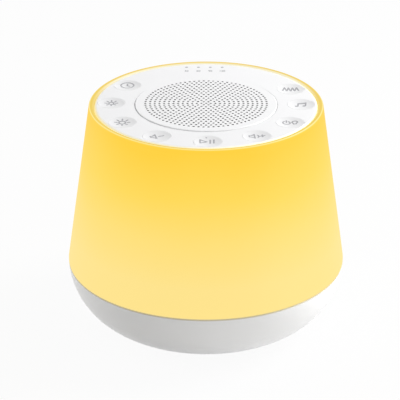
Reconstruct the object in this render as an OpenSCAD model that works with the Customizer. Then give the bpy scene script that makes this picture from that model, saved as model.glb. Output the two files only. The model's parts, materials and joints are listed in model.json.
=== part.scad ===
// White noise sound machine with a night light.
// A bowl-shaped base carries a tapered lamp shade. The control panel in the shade's rim has
// nine dished keys about a perforated speaker grille, and four timer lights at the back.
// Millimetres, +Z up. The origin is under the middle, on the surface that the machine
// stands on, and its front faces -Y.

/* [Body] */
// Outside diameter at the widest part
body_d = 104; // [102:0.5:112]
// Height from the surface it stands on to the crown of the rim
body_h = 88.1; // [86:0.1:95]
// Radius of the bowl's round side
bowl_r = 25.7; // [24.5:0.1:27.5]
// Wall thickness of the base
base_wall = 2.2; // [1.8:0.1:2.6]
// Height that the foot pad lifts the base
foot_lift = 1; // [0.6:0.1:1.6]

/* [Shade] */
// Taper of the shade's side, in degrees from upright
taper = 8.2; // [7.6:0.1:8.6]
// Wall thickness of the shade
shade_wall = 2; // [1.6:0.1:2.4]
// Distance of the seam below the widest part
seam_drop = 1.4; // [0.8:0.1:2]
// Height of the shadow gap in the seam
seam_gap = 0.3; // [0.2:0.05:0.5]
// Depth of the shadow gap in the seam
seam_depth = 0.7; // [0.4:0.1:1]
// Radius of the rounding on the rim's outer edge
rim_round = 0.8; // [0.5:0.1:0.9]
// Radius of the rounding on the rim's inner edge
lip_round = 1.1; // [0.4:0.1:1.1]
// Width of the rim, from its inner edge to the line of the shade's side
rim_w = 1.9; // [1.8:0.1:2.3]
// Width of the ledge that the panel rests on
ledge_w = 1.8; // [1.4:0.1:2]
// Thickness of that ledge
ledge_t = 1.5; // [1.1:0.1:2]

/* [Top panel] */
// Drop of the panel's face below the crown of the rim
panel_drop = 0.25; // [0.1:0.05:0.6]
// Thickness of the panel
panel_t = 2.4; // [2.2:0.1:2.8]
// Gap between the panel's edge and the rim
panel_gap = 0.15; // [0.1:0.05:0.25]
// Radius of the rounding on the panel's upper edge
panel_round = 0.9; // [0.3:0.1:0.9]
// Gap between the speaker chamber and the screw bosses under the panel
boss_gap = 1.2; // [0.8:0.1:1.4]
// Diameter of the screw bosses under the panel
panel_boss_d = 5.2; // [4.8:0.1:5.4]

/* [Keys] */
// Diameter of a key
key_d = 10.2; // [9.6:0.1:10.4]
// Distance from the rim's inner edge to the middle of a key
key_inset = 6.3; // [6.2:0.05:6.5]
// Gap around a key
key_gap = 0.1; // [0.08:0.02:0.2]
// Thickness of a key's cap
key_cap_t = 1.6; // [1.4:0.1:1.7]
// Depth of the dish in a key
dish_depth = 0.7; // [0.4:0.05:0.9]
// Width of the flat edge around the dish
dish_edge = 0.12; // [0.08:0.02:0.3]
// Diameter of the stem under a key's cap
key_stem_d = 7; // [6:0.1:7.2]
// Distance that the stem reaches below the panel
key_stem_drop = 1.75; // [1.5:0.05:2]
// Length across the two tabs that hold a key under the panel
key_tab_l = 12.2; // [11.8:0.1:12.6]
// Width of those tabs
key_tab_w = 3; // [2.4:0.1:3.2]
// Thickness of those tabs
key_tab_t = 0.85; // [0.7:0.05:0.9]
// Bearing of the timer key, in degrees from the right
timer_key_az = 148; // [147:0.5:149.5]
// Bearing of the lamp dimmer key
light_down_key_az = 178.5; // [177.5:0.5:180]
// Bearing of the lamp brighter key
light_up_key_az = 210; // [208.5:0.5:211]
// Bearing of the volume down key
volume_down_key_az = 240; // [239:0.5:242]
// Bearing of the play and pause key
play_pause_key_az = 271; // [269:0.5:272]
// Bearing of the volume up key
volume_up_key_az = 301; // [300:0.5:302]
// Bearing of the power key
power_key_az = 330; // [329:0.5:331]
// Bearing of the music key
music_key_az = 359.5; // [358:0.5:360]
// Bearing of the noise key
noise_key_az = 25; // [24.5:0.5:27]

/* [Grille] */
// Distance from the rim's inner edge to the grille
grille_inset = 15.1; // [14.2:0.1:16.4]
// Height of the grille's face above the panel
grille_rise = 0.25; // [0.1:0.05:0.4]
// Thickness of the grille
grille_t = 1.2; // [1:0.1:1.4]
// Chamfer on the grille's upper edge
grille_chamfer = 0.2; // [0.1:0.05:0.3]
// Gap between the grille's edge and its recess
grille_gap = 0.15; // [0.1:0.05:0.25]
// Width of the shelf that carries the grille
grille_shelf_w = 2.4; // [2:0.1:2.6]
// Width of the band between the holes' last ring and the edge of the opening
hole_margin = 0.9; // [0.7:0.1:2]
// Distance between the rings of holes
hole_pitch = 1.72; // [1.6:0.01:1.76]
// Diameter of a hole in the grille
hole_d = 0.9; // [0.7:0.05:1]
// Radius of the pegs that hold the grille
peg_r = 0.8; // [0.6:0.05:0.9]
// Clearance around those pegs
peg_gap = 0.05; // [0.02:0.01:0.1]
// Thickness of the dust screen under the grille
screen_t = 0.3; // [0.2:0.05:0.4]

/* [Timer lights] */
// Distance between two timer lights
light_pitch = 4.55; // [4:0.05:4.6]
// Place of the first timer light, to the right of the middle
light_first_x = -7.5; // [-7.6:0.1:-7]
// Distance from the rim's inner edge to the row of timer lights
light_inset = 4.1; // [4:0.05:4.6]
// Diameter of a timer light
light_d = 1.1; // [0.8:0.1:1.4]

/* [Speaker] */
// Distance that the speaker's flange reaches past the grille's opening
flange_reach = 3.05; // [2.9:0.05:3.2]
// Thickness of the speaker's flange
flange_t = 0.8; // [0.6:0.1:1]
// Thickness of the gasket between speaker and panel
gasket_t = 1.5; // [1.4:0.1:1.8]
// Width of the flange outside the cone's surround
flange_w = 4.9; // [4.6:0.1:5]
// Height of the speaker's basket below the flange
basket_h = 10.6; // [10:0.1:11]
// Thickness of the basket's sheet
basket_t = 0.9; // [0.7:0.1:1]
// Height of the step in the basket that carries the spider
spider_step_h = 0.8; // [0.6:0.1:1]
// Width of the basket's floor around the voice coil
basket_floor_w = 7.9; // [7.6:0.1:8.9]
// Width of the magnet's ring
magnet_w = 6.2; // [4.7:0.1:6.6]
// Thickness of the magnet
magnet_t = 5; // [4:0.2:7]
// Thickness of the speaker's two iron plates
plate_t = 2.3; // [2:0.1:3]
// Radius of the pole in the voice coil
pole_r = 6.3; // [6:0.1:6.5]
// Radius of the voice coil's former, inside
coil_r = 6.65; // [6.6:0.05:6.8]
// Wall thickness of that former
coil_wall = 0.3; // [0.25:0.05:0.4]
// Height of the voice coil's winding
winding_h = 3; // [2:0.1:3.4]
// Thickness of the voice coil's winding
winding_t = 0.25; // [0.2:0.05:0.35]
// Gap between the winding and the iron plate around it
coil_gap = 0.4; // [0.3:0.05:0.6]
// Travel of the cone either way
cone_travel = 0.5; // [0.3:0.1:0.5]
// Thickness of the paper cone
cone_t = 0.5; // [0.4:0.05:0.6]
// Height of the cone's neck above the spider
neck_rise = 2.2; // [2:0.1:2.8]
// Height of the cone's neck, which is glued to the voice coil
neck_h = 1.2; // [1:0.1:1.6]
// Width of the strip that carries the speaker's terminals
terminal_w = 8; // [6.5:0.5:9]
// Height of that strip
terminal_h = 4.5; // [4:0.1:5]
// Thickness of that strip
terminal_t = 1; // [0.8:0.1:1.2]
// Width of the surround that holds the cone
surround_w = 3.2; // [3:0.1:3.6]

/* [Inner frame] */
// Thickness of the frame's floor
floor_t = 1.8; // [1.5:0.1:2.4]
// Wall thickness of the speaker chamber
tube_wall = 1.8; // [1.5:0.1:2]
// Width of the chamber's edge under the speaker's flange
tube_seat_w = 1.4; // [1:0.1:1.7]
// Thickness of the deck under the control board
deck_t = 1.6; // [1.3:0.1:2]
// Gap between the inner frame and the shade
frame_gap = 0.4; // [0.2:0.1:0.6]
// Height of the pads that carry the control board
pad_h = 1.4; // [1:0.1:2]
// Height of the posts under the frame that take the base's screws
frame_post_h = 6.3; // [5.5:0.1:7]
// Radius of those posts
frame_post_r = 3.5; // [3:0.1:4]

/* [Boards] */
// Thickness of every circuit board
board_t = 1.2; // [1:0.1:1.6]
// Height of a key switch's housing
switch_h = 3.4; // [3.1:0.1:3.8]
// Width of a key switch's housing
switch_w = 6; // [5:0.1:6.2]
// Diameter of a switch plunger
plunger_d = 3.5; // [3:0.1:3.6]
// Length of a switch plunger outside its housing
plunger_out = 1; // [0.8:0.1:1.2]
// Length of a switch plunger inside its housing
plunger_in = 1.4; // [1:0.1:1.6]
// Travel of a key
key_travel = 0.5; // [0.3:0.05:0.5]
// Gap between the speaker chamber and the lamp board
lamp_board_gap = 3.3; // [3:0.1:3.8]
// Width of the lamp board's ring
lamp_board_w = 15.5; // [14.5:0.1:16.5]
// Number of lamps
lamp_count = 16; // [8:1:20]
// Width of a lamp
lamp_w = 5; // [3.5:0.1:5]
// Height of a lamp
lamp_h = 1.4; // [0.8:0.1:1.6]
// Gap between the main board and the base's wall
main_board_gap = 7.4; // [6.4:0.2:7.8]
// Height of the main board above the base's outer floor
main_board_rise = 12; // [11.5:0.1:12.5]
// Width of the processor
chip_w = 10; // [8:0.5:10]
// Radius of the two capacitors
capacitor_r = 4; // [3:0.1:4.2]
// Height of the two capacitors
capacitor_h = 9; // [7:0.5:10]
// Height of a wire socket
socket_h = 4; // [3:0.1:4.6]
// Wall of a wire socket around its wires
socket_wall = 1.2; // [1:0.1:1.4]

/* [Base] */
// Width of the foot pad's ring
pad_w = 3.2; // [2.4:0.1:3.4]
// Distance from the foot pad to the edge of the base's flat underside
pad_edge = 0.8; // [0.5:0.1:1]
// Depth that the foot pad sits in the base
pad_seat = 0.8; // [0.4:0.1:1]
// Radius of the screw wells under the base
well_r = 3.3; // [3:0.1:3.6]
// Depth of those wells
well_h = 7; // [6:0.5:8]
// Radius of the posts around those wells
post_r = 5; // [4.6:0.1:5.2]
// Width of the base between the foot pad and a screw well
post_gap = 1; // [0.8:0.1:2]
// Height of the collar that locates the shade
spigot_h = 3; // [2.4:0.1:4]
// Thickness of that collar
spigot_t = 2; // [1.6:0.1:2.4]
// Clearance around that collar
spigot_gap = 0.2; // [0.1:0.05:0.3]

/* [Power inlet] */
// Width of the inlet's metal shell
inlet_w = 8.94; // [8.94:0.01:9]
// Height of the inlet's metal shell
inlet_h = 3.26; // [3.2:0.01:3.3]
// Length of the inlet
inlet_l = 7.35; // [7.2:0.05:7.6]
// Wall of the inlet's metal shell
inlet_wall = 0.3; // [0.2:0.05:0.35]
// Distance of the inlet's mouth inside the base's outside
inlet_depth = 1.29; // [1.2:0.01:1.5]

/* [Screws] */
// Shank diameter of the screws in the base
base_screw_d = 2.9; // [2.4:0.1:3]
// Shank diameter of the screws in the frame
frame_screw_d = 2.4; // [2:0.1:2.6]
// Shank diameter of the screws in the boards
board_screw_d = 1.9; // [1.5:0.1:2]
// Clearance of a screw's shank in its hole
screw_fit = 0.05; // [0.03:0.01:0.1]
// Shank length of the screws in the boards
board_screw_l = 5; // [4.6:0.1:5]

/* [Wires] */
// Diameter of a wire
wire_d = 1.3; // [1:0.1:1.5]
// Thickness of the flat cable
cable_t = 0.6; // [0.4:0.1:0.8]
// Width of the flat cable
cable_w = 10; // [8:0.5:10]

/* [Hidden] */
$fn = 96;
// Overshoot of a cut past the face that it opens
cut = 1;

// Outer shape
body_r = body_d / 2;
flat_r = body_r - bowl_r;
belly_z = foot_lift + bowl_r;
seam_z = belly_z - seam_drop;
function shade_out(z) = body_r - (z - belly_z) * tan(taper);
function shade_in(z) = shade_out(z) - shade_wall;
function bowl_out(z) = flat_r + sqrt(pow(bowl_r, 2) - pow(belly_z - z, 2));
function bowl_in(z) = flat_r + sqrt(pow(bowl_r - base_wall, 2) - pow(belly_z - z, 2));

// Rim, panel and ledge
lip_r = shade_out(body_h) - rim_w;
panel_r = lip_r - panel_gap;
panel_top = body_h - panel_drop;
panel_bottom = panel_top - panel_t;
ledge_r = lip_r - ledge_w;
ledge_bottom = panel_bottom - ledge_t;
boss_az = [75, 163.25, 255.5, 344.75];

// Keys and their switches
key_ring_r = lip_r - key_inset;
key_hole_r = key_d / 2 + key_gap;
key_stem_bottom = panel_bottom - key_stem_drop;
key_tab_rest = 0.05;
switch_top = key_stem_bottom - plunger_out;
control_top = switch_top - switch_h;
control_bottom = control_top - board_t;
deck_top = control_bottom - pad_h;
deck_bottom = deck_top - deck_t;

// Grille
grille_r = lip_r - grille_inset;
grille_top = panel_top + grille_rise;
grille_bottom = grille_top - grille_t;
grille_open_r = grille_r + grille_gap - grille_shelf_w;
peg_ring_r = grille_r - grille_shelf_w / 2;
hole_rings = floor((grille_open_r - hole_margin) / hole_pitch);

// Timer lights
light_y = lip_r - light_inset;
led = [1.6, 0.8, 0.7];

// Speaker
flange_r = grille_open_r + flange_reach;
flange_top = panel_bottom - gasket_t;
flange_bottom = flange_top - flange_t;
basket_mouth_r = flange_r - flange_w;
basket_bottom = flange_bottom - basket_h;
plate_bottom = basket_bottom - plate_t;
magnet_bottom = plate_bottom - magnet_t;
yoke_bottom = magnet_bottom - plate_t;
coil_out_r = coil_r + coil_wall;
gap_r = coil_out_r + winding_t + coil_gap;
basket_floor_r = gap_r + basket_floor_w;
magnet_in_r = gap_r + 1.2;
magnet_r = magnet_in_r + magnet_w;
plate_r = magnet_r - 0.6;
spider_z = basket_bottom + basket_t + spider_step_h;
spider_r = basket_floor_r - 0.8;
cone_neck_z = spider_z + neck_rise;
cone_neck_top = cone_neck_z + neck_h;
surround_t = 0.35;
cone_r = basket_mouth_r - surround_w;
roll_r = surround_w / 2;

// Inner frame
tube_in_r = flange_r - tube_seat_w;
tube_out_r = tube_in_r + tube_wall;
boss_ring_r = tube_out_r + boss_gap + panel_boss_d / 2;
floor_bottom = seam_z + spigot_h;
floor_top = floor_bottom + floor_t;
floor_r = shade_in(floor_top) - frame_gap;
deck_r = shade_in(deck_bottom + deck_t) - frame_gap;
control_in_r = tube_out_r + 0.6;
control_out_r = ledge_r - 0.4;
board_pad_az = [12.25, 120, 194.25, 286];
board_pad_ring_r = key_ring_r - 1.8;
board_pad_r = 2;

// Base
spigot_out_r = shade_in(seam_z + spigot_h + seam_gap) - spigot_gap;
spigot_in_r = spigot_out_r - spigot_t;
base_floor = foot_lift + base_wall;
pad_in_r = flat_r - pad_edge - pad_w;
well_top = foot_lift + well_h;
post_az = [45, 135, 225, 315];
post_ring_r = pad_in_r - post_gap - well_r;
post_top = floor_bottom - frame_post_h;
main_bottom = foot_lift + main_board_rise;
main_top = main_bottom + board_t;
main_board_r = bowl_in(main_bottom) - main_board_gap;
stand_az = [20, 160, 200, 340];
stand_inset = 4;
stand_ring_r = main_board_r - stand_inset;
stand_r = 3;

// Lamp board
lamp_board_in_r = tube_out_r + lamp_board_gap;
lamp_board_out_r = lamp_board_in_r + lamp_board_w;
lamp_top = floor_top + board_t;
lamp_ring_r = (lamp_board_in_r + lamp_board_out_r) / 2;
lamp_screw_ring_r = lamp_board_in_r + 2.6;
lamp_screw_az = [33.75, 146.25, 213.75, 326.25];
lamp_screw_boss_r = 2.4;
lamp_screw_boss_h = 3;

// Holes that the board screws go into, under a board
pilot_h = board_screw_l - board_t + 0.6;

// Power inlet
inlet_z = main_top + inlet_h / 2;
inlet_y = bowl_out(inlet_z) - inlet_depth;
inlet_gap = 0.3;
inlet_recess = 2;
inlet_boss = [18, 5, 10];
main_tab_w = inlet_boss[0];
main_tab_l = 4.1;
main_tab_y = inlet_y - main_tab_l;

// Wires and sockets
socket_top = main_top + socket_h;
speaker_wire_x = 2;
terminal_y = flange_r - 3.1;
cable_az = 60;
cable_r = tube_out_r + 1.3;
lamp_wire_az = 120;
lamp_wire_r = lamp_board_in_r + 2;
lamp_wire_pitch = 2;
wire_gap = 0.5;

// Places a child at each bearing of a list, on a circle of radius r
module around(list, r) {
    for (a = list) {
        rotate([0, 0, a]) translate([r, 0, 0]) children();
    }
}

// Ring between two radii, standing on z = 0
module ring(r_out, r_in, h) {
    difference() {
        cylinder(r = r_out, h = h);
        translate([0, 0, -cut]) cylinder(r = r_in, h = h + 2 * cut);
    }
}

// Flat bar with round ends, w wide and h high, l long towards +Y from y = 0
module slot_bar(w, h, l) {
    rotate([-90, 0, 0]) linear_extrude(l) {
        square([w - h, h], center = true);
        for (side = [-1, 1]) translate([side * (w - h) / 2, 0]) circle(d = h);
    }
}

// Pan-head screw that points up, its head's bearing face on z = 0
module screw(shank_d, shank_l) {
    head_r = shank_d * 0.95;
    head_h = shank_d * 0.72;
    slot_w = shank_d * 0.22;
    slot_l = shank_d * 1.1;
    difference() {
        union() {
            cylinder(d = shank_d, h = shank_l);
            translate([0, 0, -head_h]) cylinder(r = head_r, h = head_h);
        }
        for (turn = [0, 90]) rotate([0, 0, turn]) {
            translate([-slot_l / 2, -slot_w / 2, -head_h - cut]) {
                cube([slot_l, slot_w, cut + head_h * 0.6]);
            }
        }
    }
}

// Wire swept along points that lie in one plane of equal X
module wire(points, d) {
    sides = 8;
    last = len(points) - 1;
    rings = [for (i = [0:last]) let (
        run = points[min(i + 1, last)] - points[max(i - 1, 0)],
        along = i == 0 || i == last ? [0, 0, -1] : run / norm(run)
    ) for (k = [0:sides - 1]) points[i] + d / 2 * (
        cos(k * 360 / sides) * [1, 0, 0] + sin(k * 360 / sides) * [0, along[2], -along[1]]
    )];
    skin = [for (i = [0:last - 1], k = [0:sides - 1]) let (next = (k + 1) % sides) [
        i * sides + k, i * sides + next, (i + 1) * sides + next, (i + 1) * sides + k
    ]];
    start = [for (k = [sides - 1:-1:0]) k];
    end = [for (k = [0:sides - 1]) last * sides + k];
    polyhedron(points = rings, faces = concat([start], skin, [end]), convexity = 4);
}

// Half section of the bowl's outside, up to the seam
module bowl_section() {
    intersection() {
        union() {
            translate([flat_r, belly_z]) circle(r = bowl_r);
            translate([0, foot_lift]) square([flat_r, bowl_r]);
        }
        translate([0, foot_lift]) square([body_r + cut, seam_z - foot_lift]);
    }
}

// Half section of the bowl's hollow
module bowl_hollow_section() {
    translate([flat_r, belly_z]) circle(r = bowl_r - base_wall);
    translate([-cut, base_floor]) square([flat_r + cut, bowl_r]);
}

module base_shell() color("whitesmoke") {
    rim_rib_h = 5;
    difference() {
        union() {
            rotate_extrude() {
                difference() {
                    bowl_section();
                    intersection() {
                        bowl_hollow_section();
                        translate([-2 * cut, 0]) square([spigot_in_r + 2 * cut, body_h]);
                    }
                    intersection() {
                        bowl_hollow_section();
                        square([body_r, seam_z - rim_rib_h]);
                    }
                }
                translate([spigot_in_r, seam_z - cut]) square([spigot_t, spigot_h + cut]);
            }
            around(post_az, post_ring_r) translate([0, 0, foot_lift]) {
                cylinder(r = post_r, h = post_top - foot_lift);
            }
            intersection() {
                rotate_extrude() bowl_section();
                union() {
                    around(stand_az, stand_ring_r) translate([0, 0, foot_lift]) {
                        cylinder(r = stand_r, h = main_bottom - foot_lift);
                    }
                    translate([-inlet_boss[0] / 2, main_tab_y + 0.5, inlet_z - inlet_boss[2] / 2]) {
                        cube(inlet_boss);
                    }
                }
            }
        }
        around(post_az, post_ring_r) {
            cylinder(r = well_r, h = well_top);
            cylinder(d = base_screw_d + 0.4, h = post_top + cut);
        }
        around(stand_az, stand_ring_r) translate([0, 0, main_bottom - pilot_h]) {
            cylinder(r = board_screw_d / 2 + screw_fit, h = pilot_h + cut);
        }
        translate([0, 0, -cut]) {
            ring(pad_in_r + pad_w, pad_in_r, cut + foot_lift + pad_seat);
        }
        translate([0, main_tab_y - cut, inlet_z]) {
            slot_bar(inlet_w + 2 * inlet_gap, inlet_h + 2 * inlet_gap, body_r);
        }
        translate([0, inlet_y + 0.3, inlet_z]) {
            slot_bar(inlet_w + 2 * inlet_recess, inlet_h + 2 * inlet_recess, body_r);
        }
    }
}

module foot_pad() color("dimgray") {
    ring(pad_in_r + pad_w, pad_in_r, foot_lift + pad_seat);
}

// Half section of the shade's outside, from the seam to the rim
module shade_section() {
    round_z = body_h - rim_round;
    round_x = shade_out(round_z) - rim_round / cos(taper);
    touch = [round_x + rim_round * cos(taper), round_z + rim_round * sin(taper)];
    lip_x = lip_r + lip_round;
    lip_z = body_h - lip_round;
    intersection() {
        union() {
            polygon([
                [0, 0], [shade_out(0), 0], touch, [round_x, round_z], [round_x, body_h],
                [lip_x, body_h], [lip_x, lip_z], [0, lip_z]
            ]);
            translate([round_x, round_z]) circle(r = rim_round);
            intersection() {
                translate([lip_x, lip_z]) circle(r = lip_round);
                square([lip_x, body_h]);
            }
        }
        union() {
            translate([flat_r, belly_z]) circle(r = bowl_r);
            translate([0, belly_z]) square([body_r + cut, body_h]);
        }
        translate([0, seam_z]) square([body_r + cut, body_h]);
    }
}

module lamp_shade() color("gold") rotate_extrude() {
    socket_r = spigot_out_r + spigot_gap;
    socket_top = seam_z + spigot_h + seam_gap;
    difference() {
        shade_section();
        polygon([
            [-cut, seam_z - cut], [socket_r, seam_z - cut], [socket_r, socket_top],
            [shade_in(ledge_bottom), ledge_bottom], [ledge_r, ledge_bottom],
            [ledge_r, panel_bottom], [lip_r, panel_bottom], [lip_r, body_h + cut],
            [-cut, body_h + cut]
        ]);
        translate([bowl_out(seam_z) - seam_depth, seam_z - cut]) {
            square([seam_depth + cut, seam_gap + cut]);
        }
    }
}

// Places a child at the place of each timer light
module at_lights() {
    for (i = [0:3]) translate([light_first_x + i * light_pitch, light_y, 0]) children();
}

key_az = [
    timer_key_az, light_down_key_az, light_up_key_az, volume_down_key_az,
    play_pause_key_az, volume_up_key_az, power_key_az, music_key_az, noise_key_az
];

module top_panel() color("white") difference() {
    union() {
        rotate_extrude() {
            translate([0, panel_bottom]) square([panel_r, panel_t - panel_round]);
            translate([0, panel_bottom]) square([panel_r - panel_round, panel_t]);
            translate([panel_r - panel_round, panel_top - panel_round]) {
                intersection() {
                    circle(r = panel_round);
                    square(panel_round);
                }
            }
        }
        around(boss_az, boss_ring_r) translate([0, 0, deck_top]) {
            cylinder(d = panel_boss_d, h = panel_bottom + cut - deck_top);
        }
    }
    translate([0, 0, panel_bottom - cut]) cylinder(r = grille_open_r, h = panel_t + 2 * cut);
    translate([0, 0, grille_bottom]) cylinder(r = grille_r + grille_gap, h = panel_t);
    around(key_az, key_ring_r) translate([0, 0, panel_bottom - cut]) {
        cylinder(r = key_hole_r, h = panel_t + 2 * cut);
    }
    around(post_az, peg_ring_r) translate([0, 0, panel_bottom - cut]) {
        cylinder(r = peg_r + peg_gap, h = panel_t + 2 * cut);
    }
    at_lights() translate([0, 0, panel_bottom - cut]) {
        cylinder(d = light_d + 2 * peg_gap, h = panel_t + 2 * cut);
    }
    around(boss_az, boss_ring_r) translate([0, 0, deck_top - cut]) {
        cylinder(r = frame_screw_d / 2 + screw_fit, h = panel_bottom - deck_top + cut);
    }
}

module speaker_grille() color("whitesmoke") {
    difference() {
        rotate_extrude() polygon([
            [0, grille_bottom], [grille_r, grille_bottom],
            [grille_r, grille_top - grille_chamfer],
            [grille_r - grille_chamfer, grille_top], [0, grille_top]
        ]);
        translate([0, 0, grille_bottom - cut]) {
            cylinder(d = hole_d, h = grille_t + 2 * cut);
            for (k = [1:hole_rings], i = [0:6 * k - 1]) {
                rotate([0, 0, i * 60 / k]) translate([k * hole_pitch, 0, 0]) {
                    cylinder(d = hole_d, h = grille_t + 2 * cut, $fn = 16);
                }
            }
        }
    }
    around(post_az, peg_ring_r) translate([0, 0, panel_bottom]) {
        cylinder(r = peg_r, h = grille_bottom + grille_t / 2 - panel_bottom);
    }
}

module dust_screen() color("dimgray") translate([0, 0, grille_bottom - screen_t]) {
    cylinder(r = grille_open_r - 0.2, h = screen_t);
}

// Key cap with its dish, its stem and the two tabs that hold it under the panel
module key_cap(az) {
    dish_r = key_d / 2 - dish_edge;
    ball_r = (dish_r * dish_r + dish_depth * dish_depth) / (2 * dish_depth);
    around([az], key_ring_r) difference() {
        union() {
            translate([0, 0, panel_top - key_cap_t]) cylinder(d = key_d, h = key_cap_t);
            translate([0, 0, key_stem_bottom]) {
                cylinder(d = key_stem_d, h = panel_top - key_cap_t + 0.3 - key_stem_bottom);
            }
            translate([0, 0, panel_bottom - key_tab_rest - key_tab_t / 2]) {
                cube([key_tab_w, key_tab_l, key_tab_t], center = true);
            }
        }
        translate([0, 0, panel_top - dish_depth + ball_r]) sphere(r = ball_r);
    }
}

// Housing of a key switch, with the well that its plunger moves in
module key_switch(az) {
    well_depth = plunger_in + key_travel + 0.2;
    around([az], key_ring_r) translate([0, 0, control_top]) difference() {
        translate([-switch_w / 2, -switch_w / 2, 0]) cube([switch_w, switch_w, switch_h]);
        translate([0, 0, switch_h - well_depth]) {
            cylinder(d = plunger_d + 0.16, h = well_depth + cut);
        }
    }
}

// Plunger of a key switch, from inside the housing to the key's stem
module key_plunger(az) {
    around([az], key_ring_r) translate([0, 0, switch_top - plunger_in]) {
        cylinder(d = plunger_d, h = plunger_in + plunger_out);
    }
}

module key_timer() color("white") key_cap(timer_key_az);
module key_light_down() color("white") key_cap(light_down_key_az);
module key_light_up() color("white") key_cap(light_up_key_az);
module key_volume_down() color("white") key_cap(volume_down_key_az);
module key_play_pause() color("white") key_cap(play_pause_key_az);
module key_volume_up() color("white") key_cap(volume_up_key_az);
module key_power() color("white") key_cap(power_key_az);
module key_music() color("white") key_cap(music_key_az);
module key_noise() color("white") key_cap(noise_key_az);

module switch_timer() color("dimgray") key_switch(timer_key_az);
module switch_light_down() color("dimgray") key_switch(light_down_key_az);
module switch_light_up() color("dimgray") key_switch(light_up_key_az);
module switch_volume_down() color("dimgray") key_switch(volume_down_key_az);
module switch_play_pause() color("dimgray") key_switch(play_pause_key_az);
module switch_volume_up() color("dimgray") key_switch(volume_up_key_az);
module switch_power() color("dimgray") key_switch(power_key_az);
module switch_music() color("dimgray") key_switch(music_key_az);
module switch_noise() color("dimgray") key_switch(noise_key_az);

module plunger_timer() color("black") key_plunger(timer_key_az);
module plunger_light_down() color("black") key_plunger(light_down_key_az);
module plunger_light_up() color("black") key_plunger(light_up_key_az);
module plunger_volume_down() color("black") key_plunger(volume_down_key_az);
module plunger_play_pause() color("black") key_plunger(play_pause_key_az);
module plunger_volume_up() color("black") key_plunger(volume_up_key_az);
module plunger_power() color("black") key_plunger(power_key_az);
module plunger_music() color("black") key_plunger(music_key_az);
module plunger_noise() color("black") key_plunger(noise_key_az);

module timer_light_pipe() color("gainsboro") {
    bar_t = 1.6;
    bar_w = 2;
    led_gap = 0.3;
    bar_l = 3 * light_pitch + bar_w;
    translate([light_first_x - bar_w / 2, light_y - bar_w / 2, panel_bottom - bar_t]) {
        cube([bar_l, bar_w, bar_t]);
    }
    at_lights() translate([0, 0, control_top + led[2] + led_gap]) {
        cylinder(d = light_d, h = panel_top - control_top - led[2] - led_gap);
    }
}

module timer_leds() color("ivory") at_lights() {
    translate([-led[0] / 2, -led[1] / 2, control_top]) cube(led);
}

module control_board() color("seagreen") difference() {
    translate([0, 0, control_bottom]) ring(control_out_r, control_in_r, board_t);
    around(boss_az, boss_ring_r) translate([0, 0, control_bottom - cut]) {
        cylinder(d = panel_boss_d + 0.8, h = board_t + 2 * cut);
    }
    around(board_pad_az, board_pad_ring_r) translate([0, 0, control_bottom - cut]) {
        cylinder(d = board_screw_d + 0.3, h = board_t + 2 * cut);
    }
}

module inner_frame() color("snow") difference() {
    union() {
        translate([0, 0, floor_bottom]) cylinder(r = floor_r, h = floor_t);
        translate([0, 0, floor_bottom]) cylinder(r = tube_out_r, h = flange_bottom - floor_bottom);
        translate([0, 0, deck_bottom]) cylinder(r = deck_r, h = deck_t);
        around(board_pad_az, board_pad_ring_r) translate([0, 0, deck_bottom - 2]) {
            cylinder(r = board_pad_r, h = control_bottom - deck_bottom + 2);
        }
        around(post_az, post_ring_r) translate([0, 0, post_top]) {
            cylinder(r = frame_post_r, h = floor_top - post_top);
        }
        around(lamp_screw_az, lamp_screw_ring_r) {
            translate([0, 0, floor_bottom - lamp_screw_boss_h]) {
                cylinder(r = lamp_screw_boss_r, h = lamp_screw_boss_h + floor_t / 2);
            }
        }
    }
    translate([0, 0, floor_top]) cylinder(r = tube_in_r, h = body_h);
    around(post_az, post_ring_r) translate([0, 0, post_top - cut]) {
        cylinder(r = base_screw_d / 2 + screw_fit, h = floor_bottom - post_top + cut);
    }
    around(boss_az, boss_ring_r) translate([0, 0, deck_bottom - cut]) {
        cylinder(d = frame_screw_d + 0.4, h = deck_t + 2 * cut);
    }
    around(board_pad_az, board_pad_ring_r) translate([0, 0, control_bottom - pilot_h]) {
        cylinder(r = board_screw_d / 2 + screw_fit, h = pilot_h + cut);
    }
    around(lamp_screw_az, lamp_screw_ring_r) translate([0, 0, floor_top - pilot_h]) {
        cylinder(r = board_screw_d / 2 + screw_fit, h = pilot_h + cut);
    }
    around([cable_az], cable_r) {
        translate([-cable_t / 2 - wire_gap, -cable_w / 2 - wire_gap, floor_bottom - cut]) {
            cube([cable_t + 2 * wire_gap, cable_w + 2 * wire_gap, body_h]);
        }
    }
    for (side = [-1, 1]) {
        translate([side * speaker_wire_x, terminal_y, floor_bottom - cut]) {
            cylinder(d = wire_d + 2 * wire_gap, h = floor_t + 2 * cut);
        }
    }
    around([lamp_wire_az], lamp_wire_r) {
        translate([-1.5, -lamp_wire_pitch - 1.5, floor_bottom - cut]) {
            cube([3, 2 * lamp_wire_pitch + 3, floor_t + 2 * cut]);
        }
    }
}

module frame_screws() color("silver") around(boss_az, boss_ring_r) {
    translate([0, 0, deck_bottom]) screw(frame_screw_d, panel_bottom - deck_bottom - 1.5);
}

module base_screws() color("silver") around(post_az, post_ring_r) {
    translate([0, 0, well_top]) screw(base_screw_d, floor_bottom - well_top - 1);
}

module board_screws() color("silver") {
    around(board_pad_az, board_pad_ring_r) translate([0, 0, control_top]) {
        rotate([180, 0, 0]) screw(board_screw_d, board_screw_l);
    }
    around(lamp_screw_az, lamp_screw_ring_r) translate([0, 0, lamp_top]) {
        rotate([180, 0, 0]) screw(board_screw_d, board_screw_l);
    }
    around(stand_az, stand_ring_r) translate([0, 0, main_top]) {
        rotate([180, 0, 0]) screw(board_screw_d, board_screw_l);
    }
}

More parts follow.
